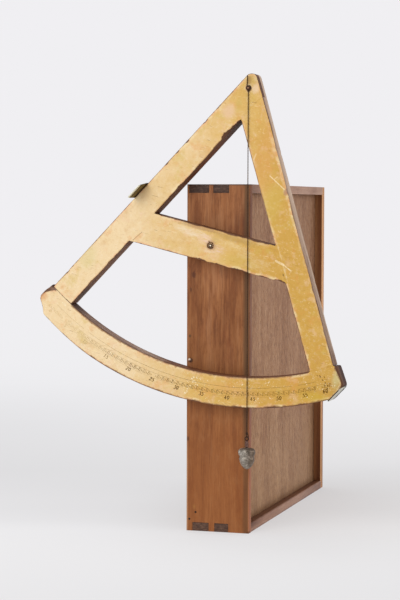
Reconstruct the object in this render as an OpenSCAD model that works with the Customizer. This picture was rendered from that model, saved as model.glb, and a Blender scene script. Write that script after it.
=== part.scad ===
// Sun sextant: a 60 degree wooden frame with a degree scale, two brass sight
// plates and a plumb line. A bolt through its crossbar holds it on the narrow
// side of its storage case, which serves as its stand.
// Millimetres. Origin: centre of the case's underside. +Z up, the sextant
// faces -Y, the case's recessed panel faces +X.

/* [Case] */
// Height of the case as it stands
case_h = 348.5; // [345:0.5:360]
// Width of the narrow side that carries the sextant
case_t = 65; // [62:0.5:75]
// Depth of the case, from front board to rear board
case_d = 326; // [320:1:345]
// Thickness of the four case boards
board_t = 8.7; // [8:0.1:10]
// How far the fixed panel lies behind the rims
panel_recess = 9; // [7:0.1:13]
// Thickness of the fixed panel
panel_t = 6; // [4:0.5:7]
// Thickness of the inset lid
lid_t = 5.5; // [4.5:0.5:6]

/* [Sextant] */
// Degree reading at which the frame stands
reading = 44; // [0:0.5:59]
// Outer radius of the arc board
arc_ro = 314; // [312:0.5:316]
// Inner radius of the arc board
arc_ri = 283.5; // [280:0.5:288]
// Thickness of the wooden frame without its face sheets
wood_t = 17.7; // [15:0.1:20]
// Thickness of the face sheets
sheet_t = 0.3; // [0.2:0.05:0.5]
// Left limb: degree line to outer edge
left_out = 10; // [9:0.1:11]
// Right limb: degree line to outer edge
right_out = 9.8; // [9:0.1:11]
// Both limbs: degree line to inner edge
limb_in = 16; // [14:0.5:18]
// Distance of the pivot bolt from the plumb pin
pivot_r = 159; // [155:0.5:165]
// Width of the crossbar
bar_w = 33; // [28:0.5:36]
// Radius of the rounded apex
apex_r = 5.5; // [5:0.1:8]
// Width of the spacer washer's gap between case and frame
gap = 2; // [1.5:0.1:3]

/* [Sights] */
// Length of the sight plates along the limb
plate_w = 20; // [18:0.5:21]
// How far the sight plates stand in front of the face
plate_out = 20; // [15:0.5:24]
// Thickness of the sight plates
plate_t = 1; // [0.8:0.1:1.5]
// Distance of the sight line from the plumb pin, along the left limb
sight_u = 148.2; // [146:0.2:149]

/* [Plumb line] */
// Length of the thread from the plumb pin to the knot above the bob
thread_len = 338; // [330:1:350]
// Diameter of the thread
thread_d = 0.9; // [0.8:0.1:1.2]
// Largest radius of the lead bob
bob_r = 8.8; // [7:0.1:9]

/* [Hidden] */
$fn = 64;

// ---- derived values -------------------------------------------------------
tilt = reading - 30;              // frame's turn, clockwise seen from the front
pivot_x = -2.4;                   // pivot bolt on the narrow side
pivot_z = 287.8;
apex_x = pivot_x + pivot_r * sin(tilt);
apex_z = pivot_z + pivot_r * cos(tilt);

front = -case_d / 2;              // face of the narrow side
y_back = front - gap;             // back of the wooden frame
y_wood = y_back - wood_t;         // front of the wood
y_face = y_wood - sheet_t;        // front of the face sheets
y_mid = (y_back + y_wood) / 2;
y_tie = y_face - 0.5;             // plane of the tie thread
y_line = y_face - 1.5;            // plane in which the plumb line hangs

groove = 3;                       // depth of the panel's groove
rabbet = 2.5;                     // depth of the lid's rabbet
lid_x = -case_t / 2 + 0.2 + lid_t / 2;   // axis of the lid's pins
lid_z = board_t + 0.35 + lid_t / 2;
panel_x = case_t / 2 - panel_recess - panel_t;
// dovetails of the top and bottom board, as seen on the narrow side
tails_top = [[-30.6, -9.7], [-5.6, 11]];
tails_bottom = [[-26.4, -9.2], [-3.4, 11.2]];

// apex rounding, tangent to both outer edges
apex_cx = (right_out - left_out) / (2 * cos(30));
apex_cz = left_out + right_out - 2 * apex_r;
// saw notch in the apex rounding, and where the tie thread lies in it
notch_a = 56;
tie_x = apex_cx - (apex_r - 0.37) * sin(notch_a);
tie_z = apex_cz + (apex_r - 0.37) * cos(notch_a);
bolt_r = 1.75;
pin_r = 1.5;
block_out = 13;                   // right end of the arc board beyond the degree line
bevel = 271;                      // target bevel, measured square to the left limb
plate_y = y_back - 7;             // rear edge of both sight plates
nail_y = plate_y - 5.5;           // their nails
knot_z = apex_z - thread_len;     // knot above the bob
bob_z = knot_z - 15;              // top of the bob

// ---- colours --------------------------------------------------------------
c_case = [0.47, 0.30, 0.21];
c_case_end = [0.36, 0.25, 0.19];
c_panel = [0.56, 0.45, 0.37];
c_wood = [0.50, 0.40, 0.34];
c_sheet = [0.88, 0.74, 0.48];
c_scale = [0.86, 0.69, 0.40];
c_brass = [0.62, 0.52, 0.28];
c_iron = [0.25, 0.22, 0.20];
c_thread = [0.20, 0.14, 0.11];
c_lead = [0.46, 0.47, 0.46];

// ---- helpers --------------------------------------------------------------
module place() translate([apex_x, 0, apex_z]) rotate([0, tilt, 0]) children();
// extrudes a drawing in X and Z over the stretch y0 to y1
module slab(y0, y1) translate([0, y1, 0]) rotate([90, 0, 0])
  linear_extrude(y1 - y0) children();
// cylinder along Y
module bar_y(r, y0, y1, x = 0, z = 0) translate([x, y1, z]) rotate([90, 0, 0])
  cylinder(r = r, h = y1 - y0);
// strip along a limb: side -1 left, 1 right; v runs outwards, u down the limb
module strip(side, vo, vi, u0, u1)
  rotate(30 * side) translate([side < 0 ? -vo : -vi, -u1])
    square([vo + vi, u1 - u0]);
// box that stands on a limb's edge: u along, v outwards, y across
module on_limb(side) rotate([0, -30 * side, 0]) children();
function apex_u(side) = side * apex_cx * 0.5 - apex_cz * cos(30);

// ---- case -----------------------------------------------------------------
module tails(list, z0, z1) for (t = list) translate([0, 0, z0])
  linear_extrude(z1 - z0) polygon([[t[0], front], [t[1], front],
    [t[1] - board_t / 6, front + board_t], [t[0] + board_t / 6, front + board_t]]);

module end_board() difference() {
  translate([-case_t / 2, front, 0]) cube([case_t, board_t, case_h]);
  // sockets for the dovetails
  tails(tails_top, case_h - board_t, case_h + 1);
  tails(tails_bottom, -1, board_t);
  // groove for the fixed panel
  translate([panel_x, front + board_t - groove, board_t - groove])
    cube([panel_t, groove + 1, case_h - 2 * (board_t - groove)]);
  // rabbet for the lid
  translate([-case_t / 2 - 1, front + board_t - rabbet, board_t])
    cube([1 + 0.4 + lid_t, rabbet + 1, case_h - 2 * board_t]);
  // lid pin
  bar_y(1.1, front - 1, front + board_t + 1, lid_x, lid_z);
}

module case_front_board() color(c_case) difference() {
  end_board();
  bar_y(bolt_r, front - 1, front + board_t + 1, pivot_x, pivot_z);
  bar_y(1, front - 1, front + 5, lid_x - 0.1, 172.9);
}

module case_rear_board() color(c_case) mirror([0, 1, 0]) end_board();

module level_board(list, z0, groove_z) difference() {
  union() {
    translate([-case_t / 2, front + board_t, z0])
      cube([case_t, case_d - 2 * board_t, board_t]);
    tails(list, z0, z0 + board_t);
    mirror([0, 1, 0]) tails(list, z0, z0 + board_t);
  }
  translate([panel_x, front, groove_z]) cube([panel_t, case_d, groove]);
}

module case_top_board() color(c_case_end)
  level_board(tails_top, case_h - board_t, case_h - board_t);
module case_bottom_board() color(c_case_end)
  level_board(tails_bottom, 0, board_t - groove);

module case_panel() color(c_panel)
  translate([panel_x, front + board_t - groove + 0.2, board_t - groove + 0.2])
    cube([panel_t, case_d - 2 * (board_t - groove + 0.2),
      case_h - 2 * (board_t - groove + 0.2)]);

// brass stud 3 mm from the narrow side's edge, at half its height
module catch_stud() color(c_brass) {
  bar_y(1, front - 0.4, front + 5, lid_x - 0.1, 172.9);
  translate([lid_x - 0.1, front - 0.4, 172.9]) intersection() {
    translate([-2, -2, -2]) cube([4, 2, 4]);
    translate([0, 0.5, 0]) sphere(r = 1.8);
  }
}

module lid_pivot_pins() color(c_iron) for (m = [0, 1]) mirror([0, m, 0])
  bar_y(1.1, front + 0.3, front + board_t + 4, lid_x, lid_z);

module lid() color(c_panel) difference() {
  union() {
    translate([lid_x - lid_t / 2, front + board_t - rabbet + 0.3, lid_z])
      cube([lid_t, case_d - 2 * (board_t - rabbet + 0.3),
        case_h - board_t - 0.4 - lid_z]);
    bar_y(lid_t / 2, front + board_t - rabbet + 0.3,
      -front - board_t + rabbet - 0.3, lid_x, lid_z);
  }
  // blind pin holes in both ends
  for (m = [0, 1]) mirror([0, m, 0])
    bar_y(1.15, front + board_t - rabbet - 1, front + board_t + 4.5, lid_x, lid_z);
  // thumb recess under the top edge
  translate([-case_t / 2 - 14, 0, case_h - board_t - 22]) sphere(r = 16);
}

// ---- pivot ----------------------------------------------------------------
module pivot_bolt() color(c_iron) {
  bar_y(bolt_r, y_wood + 0.4, front + board_t + 10.5, pivot_x, pivot_z);
  bar_y(3, y_wood - 0.5, y_wood + 1, pivot_x, pivot_z);
}

module washer(r, y0, y1) difference() {
  bar_y(r, y0, y1, pivot_x, pivot_z);
  bar_y(bolt_r + 0.05, y0 - 1, y1 + 1, pivot_x, pivot_z);
}

module spacer_washer() color(c_brass) washer(9, y_back + 0.1, front);
module inner_washer() color(c_brass)
  washer(6.5, front + board_t, front + board_t + 1);

module wing_nut() color(c_iron) translate([pivot_x, front + board_t + 1.1, pivot_z])
  difference() {
    union() {
      bar_y(4.2, 0, 5.5);
      for (s = [0, 180]) rotate([0, s, 0]) hull() {
        translate([3, 2, -0.9]) cube([1, 3, 1.8]);
        translate([9, 6.5, 0]) cylinder(r = 2.4, h = 1.8, center = true);
      }
    }
    bar_y(bolt_r + 0.05, -1, 12);
  }

// ---- frame ----------------------------------------------------------------
module apex_disc() translate([apex_cx, apex_cz]) circle(r = apex_r);

module limb_2d(side) {
  vo = side < 0 ? left_out : right_out;
  other = side < 0 ? right_out : left_out;
  intersection() {
    strip(side, vo, limb_in, apex_u(side), arc_ri + 5);
    circle(r = arc_ri);
    strip(-side, other, 400, -50, 400);
  }
  apex_disc();
}

module tenon_2d(side) strip(side, 5, 11, arc_ri - 15, arc_ri + 17);

module bar_2d(inset, half) difference() {
  translate([-120, -pivot_r - half]) square([240, 2 * half]);
  strip(-1, 200, limb_in - inset, -50, 400);
  strip(1, 200, limb_in - inset, -50, 400);
}

module bar_tenons() slab(y_mid - 3, y_mid + 3) bar_2d(10, bar_w / 2 - 5);

// saw notch over the apex that the tie thread lies in
module notch() slab(y_wood - 1, y_back + 1) translate([apex_cx, apex_cz])
  rotate(notch_a) translate([-0.6, apex_r - 0.9]) square([1.2, 4]);

module limb(side) difference() {
  union() {
    slab(y_wood, y_mid) difference() {
      limb_2d(side);
      if (side > 0) limb_2d(-1);
    }
    slab(y_mid, y_back) difference() {
      limb_2d(side);
      if (side < 0) limb_2d(1);
    }
    slab(y_mid - 3, y_mid + 3) tenon_2d(side);
  }
  bar_tenons();
  bar_y(pin_r, y_wood - 1, y_back + 1);
  notch();
}

module left_limb() color(c_wood) place() difference() {
  limb(-1);
  // two nails of the pinhole plate
  for (p = [-5.3, 3.7]) on_limb(-1)
    translate([-left_out - 1, nail_y, -sight_u + p]) rotate([0, 90, 0])
      cylinder(r = 0.7, h = 9);
}

module right_limb() color(c_wood) place() limb(1);

module crossbar() color(c_wood) place() difference() {
  union() {
    slab(y_wood, y_back) bar_2d(0, bar_w / 2);
    bar_tenons();
  }
  bar_y(bolt_r + 0.05, y_wood - 1, y_back + 1, 0, -pivot_r);
  bar_y(3.4, y_wood - 1, y_wood + 1.4, 0, -pivot_r);
}

// outline of the arc board: [along, out] beside the left limb, then the right
module arc_region(cut) {
  l = [[0, left_out], [281.6, left_out], [282, 11.8], [286, 12.6], [292.5, 13.8],
    [299.5, 13.9], [303.6, 12], [309, 4.4], [318, -9], [340, -60], [380, -180]];
  r = [[380, -180], [360, -60], [(bevel - block_out / 2) / cos(30), block_out],
    [284.4, block_out], [284.4, right_out], [0, right_out]];
  module_pts = concat([for (p = l) [-p[0] * 0.5 - (p[1] - cut) * cos(30),
      -p[0] * cos(30) + (p[1] - cut) * 0.5]],
    [for (p = r) [p[0] * 0.5 + (p[1] - cut) * cos(30),
      -p[0] * cos(30) + (p[1] - cut) * 0.5]]);
  polygon(module_pts);
}

// half plane inside the target bevel, which lies parallel to the left limb
module bevel_half(cut) rotate(-30) translate([-40, -400])
  square([40 + bevel - cut, 500]);

module arc_2d(cut = 0) intersection() {
  difference() { circle(r = arc_ro - cut); circle(r = arc_ri + cut); }
  arc_region(cut);
  bevel_half(cut);
}

module arc_board() color(c_wood) place() difference() {
  slab(y_wood, y_back) arc_2d();
  slab(y_mid - 3, y_mid + 3) { tenon_2d(-1); tenon_2d(1); }
  // two nails of the target plate
  for (p = [-5.8, 3.2]) on_limb(-1)
    translate([bevel - 8, nail_y, -sight_u + p]) rotate([0, 90, 0])
      cylinder(r = 0.7, h = 9);
}

// ---- face sheets ----------------------------------------------------------
module sheet() slab(y_face, y_wood) children();

module left_face_sheet() color(c_sheet) place() sheet() difference() {
  intersection() {
    offset_limb(-1);
    circle(r = arc_ri);
  }
  circle(r = 1.9);
  translate([apex_cx, apex_cz]) rotate(notch_a) translate([-0.8, apex_r - 1.1]) square([1.6, 4]);
}

// limb outline drawn 0.4 mm inside the wood's own edges
module offset_limb(side) {
  vo = (side < 0 ? left_out : right_out) - 0.4;
  other = (side < 0 ? right_out : left_out) - 0.4;
  intersection() {
    strip(side, vo, limb_in - 0.4, apex_u(side), arc_ri + 5);
    strip(-side, other, 400, -50, 400);
  }
  translate([apex_cx, apex_cz]) circle(r = apex_r - 0.4);
}

module right_face_sheet() color(c_sheet) place() sheet() difference() {
  intersection() {
    offset_limb(1);
    circle(r = arc_ri);
  }
  offset_limb(-1);
  strip(-1, 30, limb_in, -30, 60);
}

module crossbar_face_sheet() color(c_sheet) place() sheet() difference() {
  bar_2d(0.4, bar_w / 2 - 0.4);
  translate([0, -pivot_r]) circle(r = 3.5);
}

module scale_sheet() color(c_scale) place() sheet() arc_2d(0.4);

// ---- sights ---------------------------------------------------------------
// plate outline: x runs forward from the rear edge, y up along the limb; the rear
// corners are rounded and the upper edge slants down by drop towards the front
module plate_2d(w, drop) {
  d = plate_y - y_face + plate_out;
  h = w / 2;
  difference() {
    union() {
      translate([4.5, -h]) square([d - 6.5, w]);
      translate([0, -h + 4.5]) square([5, w - 9]);
      translate([d - 3, -h + 2]) square([3, w - 4]);
      for (s = [-1, 1]) {
        translate([4.5, s * (h - 4.5)]) circle(r = 4.5);
        translate([d - 2, s * (h - 2)]) circle(r = 2);
      }
    }
    polygon([[11, h], [d + 1, h - drop], [d + 1, h + 1], [11, h + 1]]);
    for (s = [-1, 1]) translate([plate_y - nail_y, s * 4.5]) circle(r = 0.7);
  }
}

// plate standing on its edge, with a round hole of radius r on the sight line
module plate_body(r, hole, w, drop) difference() {
  linear_extrude(plate_t) plate_2d(w, drop);
  translate([plate_y - y_face + plate_out / 2, hole, -1]) cylinder(r = r, h = plate_t + 2);
}

// both plates sit a little lower on the wood than the sight line
module pinhole_plate() color(c_brass) place() on_limb(-1)
  translate([-left_out, plate_y, -sight_u - 0.8]) rotate([0, 0, -90]) rotate([90, 0, 0])
    plate_body(0.5, 0.8, plate_w, 3.5);
module target_plate() color(c_brass) place() on_limb(-1)
  translate([bevel + plate_t, plate_y, -sight_u - 1.3]) rotate([0, 0, -90]) rotate([90, 0, 0])
    plate_body(0.7, 1.3, plate_w - 2, 2.4);

// small round-headed nails that hold a plate on the wood
module nails(x0, dir, list) for (p = list) translate([x0, nail_y, -sight_u + p])
  rotate([0, 90 * dir, 0]) {
    translate([0, 0, -7]) cylinder(r = 0.7, h = 7);
    cylinder(r = 1.5, h = 0.4);
  }

module pinhole_plate_nails() color(c_iron) place() on_limb(-1)
  nails(-left_out - plate_t, -1, [-5.3, 3.7]);
module target_plate_nails() color(c_iron) place() on_limb(-1)
  nails(bevel + plate_t, 1, [-5.8, 3.2]);

// ---- plumb line -----------------------------------------------------------
module plumb_pin() color(c_brass) place() {
  bar_y(pin_r, y_line - 0.6, y_back - 1);
  bar_y(2, y_line - 1.2, y_line - 0.6);
}

module torus(rr, r) rotate_extrude() translate([rr, 0]) circle(r = r);
function lerp(a, b, t) = a + (b - a) * t;
function fine(r, n) = concat([for (i = [0:len(r) - 2], j = [0:n - 1])
  lerp(r[i], r[i + 1], j / n)], [r[len(r) - 1]]);
function unit(v) = v / norm(v);
function tangent(p, i) = unit(p[min(i + 1, len(p) - 1)] - p[max(i - 1, 0)]);
// side vectors along the route, each turned no more than the route turns
function sides(p, i, a) = i >= len(p) ? [] : let (t = tangent(p, i),
  b = unit(a - (a * t) * t)) concat([b], sides(p, i + 1, b));
module tube(p, r, n, start) {
  m = len(p);
  s = sides(p, 0, start);
  polyhedron(points = [for (i = [0:m - 1]) let (b = cross(tangent(p, i), s[i]))
      for (k = [0:n - 1]) p[i] + r * (cos(360 * k / n) * s[i] + sin(360 * k / n) * b)],
    faces = concat(
      [[for (k = [0:n - 1]) k]],
      [for (i = [0:m - 2], k = [0:n - 1])
        [i * n + k, (i + 1) * n + k, (i + 1) * n + (k + 1) % n, i * n + (k + 1) % n]],
      [[for (k = [n - 1:-1:0]) (m - 1) * n + k]]));
}
// short thread: half round the plumb pin, over the apex notch, down the back
tie_route = concat([for (a = [70:25:270]) [2.1 * sin(a), y_tie, 2.1 * cos(a)]],
  [[-2.25, y_tie, 2.6], [-2.75, y_tie, 6.2], [tie_x + 0.55, y_tie, tie_z - 1.1],
   [tie_x + 0.12, y_tie + 0.4, tie_z - 0.1], [tie_x, y_tie + 1.2, tie_z],
   [tie_x, y_mid, tie_z], [tie_x, y_back - 0.5, tie_z],
   [tie_x + 0.12, y_back + 0.3, tie_z - 0.1], [tie_x + 0.5, y_back + 0.7, tie_z - 0.9],
   [-2.6, y_back + 0.7, 6.8], [-1.6, y_back + 0.7, 3.6], [-1.6, y_back + 0.7, 1.6]]);
module apex_tie() color(c_thread) place() tube(tie_route, thread_d / 2, 8, [0, 1, 0]);

// eye of the plumb line, turning on the plumb pin
module thread_eye() color(c_thread) translate([apex_x, y_line, apex_z])
  rotate([90, 0, 0]) torus(2.05, thread_d / 2);

// route of the hanging thread below the pin's axis
route = [[0, 0, -2.2], [0, 0, -20], [0, 0, -50], [0, 0, -80], [0, 0, -110],
  [0, 0, -140], [0, 0, -170], [0, 0, -200], [0, 0, -230], [0, 0, -260],
  [0, 0, -290], [0, 0, -320], [0, 0, -thread_len]];
module plumb_thread() color(c_thread) translate([apex_x, y_line, apex_z])
  tube(fine(route, 4), thread_d / 2, 8, [1, 0, 0]);

module thread_knot() color(c_thread) translate([apex_x, y_line, knot_z]) {
  translate([0, 0, -1.2]) sphere(r = 1.4);
  translate([0, 0, -3.75]) rotate([0, 90, 0]) torus(1.2, thread_d / 2);
}

// iron wire eye, cast into the lead
module bob_eye() color(c_iron) translate([apex_x, y_line, bob_z]) {
  translate([0, 0, 9]) rotate([90, 0, 0]) torus(2.1, 0.55);
  translate([0, 0, -4]) cylinder(r = 0.9, h = 11);
}

module plumb_bob() color(c_lead) translate([apex_x, y_line, bob_z]) difference() {
  rotate_extrude() polygon([[0, 0], [3, 0], [7.2, -0.9], [bob_r, -3], [bob_r - 0.3, -6],
    [bob_r - 1.4, -8.2], [bob_r - 1.3, -9.6], [bob_r - 0.8, -11.2], [bob_r - 1.9, -15],
    [bob_r - 4.1, -18.6], [2.2, -20.7], [0, -21.4]]);
  translate([0, 0, -4]) cylinder(r = 0.9, h = 6);
}

case_front_board();
case_rear_board();
case_top_board();
case_bottom_board();
case_panel();
catch_stud();
lid_pivot_pins();
lid();
pivot_bolt();
spacer_washer();
inner_washer();
wing_nut();
left_limb();
right_limb();
crossbar();
arc_board();
left_face_sheet();
right_face_sheet();
crossbar_face_sheet();
scale_sheet();
pinhole_plate();
pinhole_plate_nails();
target_plate();
target_plate_nails();
plumb_pin();
apex_tie();
thread_eye();
plumb_thread();
thread_knot();
bob_eye();
plumb_bob();
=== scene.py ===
"""Looks of a sun sextant that stands bolted to its own wooden case.

Lengths in the helpers are millimetres and become metres when a mesh is made. The frame of the instrument has
its own flat coordinates: the plumb pin is the origin, x runs right, z runs up, and the frame stands turned by TILT.
"""
import math

import bmesh
import bpy
import numpy as np
from mathutils import Matrix, Vector, kdtree, noise
from mathutils.geometry import delaunay_2d_cdt


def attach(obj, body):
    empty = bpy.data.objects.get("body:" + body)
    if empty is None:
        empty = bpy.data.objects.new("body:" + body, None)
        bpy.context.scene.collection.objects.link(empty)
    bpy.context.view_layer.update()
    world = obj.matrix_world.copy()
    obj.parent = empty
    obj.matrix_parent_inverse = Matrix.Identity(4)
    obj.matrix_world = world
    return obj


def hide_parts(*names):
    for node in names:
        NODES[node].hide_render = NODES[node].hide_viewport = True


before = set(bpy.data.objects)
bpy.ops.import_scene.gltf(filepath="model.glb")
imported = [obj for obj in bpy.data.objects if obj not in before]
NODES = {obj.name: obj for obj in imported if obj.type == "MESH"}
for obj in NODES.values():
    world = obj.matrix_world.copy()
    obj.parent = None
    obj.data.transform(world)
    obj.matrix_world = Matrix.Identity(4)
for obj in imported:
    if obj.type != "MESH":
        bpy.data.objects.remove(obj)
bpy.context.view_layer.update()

# ---------------------------------------------------------------- measures, as in the CAD
MM = 0.001
TILT = math.radians(14)
APX, APZ = -2.4 + 159 * math.sin(TILT), 287.8 + 159 * math.cos(TILT)
CT, ST = math.cos(TILT), math.sin(TILT)
C30, S30 = math.cos(math.radians(30)), 0.5
Y_FRONT, Y_BACK, Y_WOOD, Y_FACE = -163.0, -165.0, -182.7, -183.0
Y_MID = (Y_BACK + Y_WOOD) / 2
Y_TIE, Y_LINE = Y_FACE - 0.5, Y_FACE - 1.5
LEFT_OUT, RIGHT_OUT, LIMB_IN = 10.0, 9.8, 16.0
R_IN, R_OUT = 283.5, 314.0
PIVOT_R, BAR_H = 159.0, 16.5
DISC = ((RIGHT_OUT - LEFT_OUT) / (2 * C30), LEFT_OUT + RIGHT_OUT - 2 * 5.5, 5.5)
NOTCH = math.radians(56)
TIE = (DISC[0] - (DISC[2] - 0.37) * math.sin(NOTCH), DISC[1] + (DISC[2] - 0.37) * math.cos(NOTCH))
BEVEL = 271.0
SIGHT_U = 148.2
PLATE_Y, NAIL_Y = Y_BACK - 7, Y_BACK - 12.5
PX, PZ = -2.4, 287.8
THREAD_LEN, THREAD_D = 338.0, 0.9
KNOT_Z = APZ - THREAD_LEN
BOB_Z = KNOT_Z - 15


def to_row(x, z):
    return APX + x * CT + z * ST, APZ - x * ST + z * CT


def limb(side, u, v):
    """Flat point beside a limb: u down the limb, v outwards from its degree line."""
    if side < 0:
        return (-u * S30 - v * C30, -u * C30 + v * S30)
    return (u * S30 + v * C30, -u * C30 + v * S30)


def nz(x, y=0.0, z=0.0):
    return noise.noise(Vector((x, y, z)))


def clamp(x, a=0.0, b=1.0):
    return max(a, min(b, x))


def smooth(x):
    x = clamp(x)
    return x * x * (3 - 2 * x)


def srgb(r, g, b, a=1.0):
    def one(c):
        c /= 255
        return c / 12.92 if c <= 0.04045 else ((c + 0.055) / 1.055) ** 2.4

    return (one(r), one(g), one(b), a)


# ---------------------------------------------------------------- camera, first
def make_camera():
    yaw, pitch, roll = -0.293, 0.051, 0.003
    fwd = Vector((math.sin(yaw), math.cos(yaw), 0))
    right = Vector((math.cos(yaw), -math.sin(yaw), 0))
    up = Vector((0, 0, 1))
    f2 = fwd * math.cos(pitch) - up * math.sin(pitch)
    u2 = up * math.cos(pitch) + fwd * math.sin(pitch)
    r3 = right * math.cos(roll) + u2 * math.sin(roll)
    u3 = u2 * math.cos(roll) - right * math.sin(roll)
    data = bpy.data.cameras.new("camera")
    cam = bpy.data.objects.new("camera", data)
    bpy.context.scene.collection.objects.link(cam)
    data.sensor_width = 36
    data.lens = 1880.4 / 600 * 36
    data.clip_start, data.clip_end = 0.05, 60
    m = Matrix((r3, u3, -f2)).transposed().to_4x4()
    m.translation = Vector((0.5238, -1.9622, 0.3288))
    cam.matrix_world = m
    bpy.context.scene.camera = cam


make_camera()


# ---------------------------------------------------------------- node helper
class Mat:
    def __init__(self, name, rough=0.6, metal=0.0, spec=0.5, coat=0.0, coat_rough=0.3):
        self.m = bpy.data.materials.new(name)
        self.m.use_nodes = True
        self.t = self.m.node_tree
        self.b = self.t.nodes["Principled BSDF"]
        self.b.inputs["Roughness"].default_value = rough
        self.b.inputs["Metallic"].default_value = metal
        self.b.inputs["Specular IOR Level"].default_value = spec
        self.b.inputs["Coat Weight"].default_value = coat
        self.b.inputs["Coat Roughness"].default_value = coat_rough

    def node(self, kind, **kw):
        n = self.t.nodes.new(kind)
        for k, v in kw.items():
            setattr(n, k, v)
        return n

    def put(self, sock, val):
        if isinstance(val, bpy.types.NodeSocket):
            self.t.links.new(val, sock)
        else:
            sock.default_value = val

    def attr(self, name, out="Vector"):
        return self.node("ShaderNodeAttribute", attribute_name=name).outputs[out]

    def obj(self, rot=(0, 0, 0), scale=1000.0):
        """Object coordinates in millimetres, turned so that the grain runs along z."""
        tc = self.node("ShaderNodeTexCoord").outputs["Object"]
        return self.map(tc, (scale,) * 3, rot)

    def map(self, vec, scale=(1, 1, 1), rot=(0, 0, 0), loc=(0, 0, 0)):
        n = self.node("ShaderNodeMapping")
        self.put(n.inputs["Vector"], vec)
        n.inputs["Scale"].default_value = scale
        n.inputs["Rotation"].default_value = rot
        n.inputs["Location"].default_value = loc
        return n.outputs[0]

    def noise(self, vec, scale, detail=3.0, rough=0.55, dist=0.0, out="Fac"):
        n = self.node("ShaderNodeTexNoise")
        self.put(n.inputs["Vector"], vec)
        n.inputs["Scale"].default_value = scale
        n.inputs["Detail"].default_value = detail
        n.inputs["Roughness"].default_value = rough
        n.inputs["Distortion"].default_value = dist
        return n.outputs[out]

    def math(self, op, a, b=0.0, c=0.0, cl=False):
        n = self.node("ShaderNodeMath", operation=op, use_clamp=cl)
        self.put(n.inputs[0], a)
        self.put(n.inputs[1], b)
        if op in ("MULTIPLY_ADD",):
            self.put(n.inputs[2], c)
        return n.outputs[0]

    def vmath(self, op, a, b=None, out=0):
        n = self.node("ShaderNodeVectorMath", operation=op)
        self.put(n.inputs[0], a)
        if b is not None:
            self.put(n.inputs[1], b)
        return n.outputs[out]

    def rng(self, v, a, b, c=0.0, d=1.0, kind="SMOOTHSTEP"):
        n = self.node("ShaderNodeMapRange", interpolation_type=kind)
        self.put(n.inputs["Value"], v)
        for k, x in (("From Min", a), ("From Max", b), ("To Min", c), ("To Max", d)):
            n.inputs[k].default_value = x
        return n.outputs[0]

    def ramp(self, fac, stops):
        n = self.node("ShaderNodeValToRGB")
        self.put(n.inputs[0], fac)
        e = n.color_ramp.elements
        while len(e) < len(stops):
            e.new(0.5)
        for el, (p, c) in zip(e, stops):
            el.position, el.color = p, c
        return n.outputs[0]

    def mix(self, fac, a, b, blend="MIX"):
        n = self.node("ShaderNodeMix", data_type="RGBA", blend_type=blend)
        self.put(n.inputs[0], fac)
        self.put(n.inputs[6], a)
        self.put(n.inputs[7], b)
        return n.outputs[2]

    def segment(self, p, a, b, r0, r1):
        """1 near the line from a to b in the plane of the first two coordinates, 0 beyond r1."""
        a3, b3 = Vector((a[0], a[1], 0)), Vector((b[0], b[1], 0))
        ab = b3 - a3
        flat = self.vmath("MULTIPLY", p, (1, 1, 0))
        ap = self.vmath("SUBTRACT", flat, tuple(a3))
        t = self.math("DIVIDE", self.vmath("DOT_PRODUCT", ap, tuple(ab), 1), max(ab.length_squared, 1e-6), cl=True)
        sc = self.node("ShaderNodeVectorMath", operation="SCALE")
        sc.inputs[0].default_value = tuple(ab)
        self.put(sc.inputs["Scale"], t)
        d = self.vmath("LENGTH", self.vmath("SUBTRACT", ap, sc.outputs[0]), None, 1)
        return self.rng(d, r0, r1, 1.0, 0.0)

    def bump(self, h, strength=0.5, dist=0.0005, normal=None):
        n = self.node("ShaderNodeBump")
        n.inputs["Strength"].default_value = strength
        n.inputs["Distance"].default_value = dist
        self.put(n.inputs["Height"], h)
        if normal is not None:
            self.put(n.inputs["Normal"], normal)
        return n.outputs[0]

    def done(self, color, rough=None, normal=None):
        self.put(self.b.inputs["Base Color"], color)
        if rough is not None:
            self.put(self.b.inputs["Roughness"], rough)
        if normal is not None:
            self.put(self.b.inputs["Normal"], normal)
        return self.m


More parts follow.
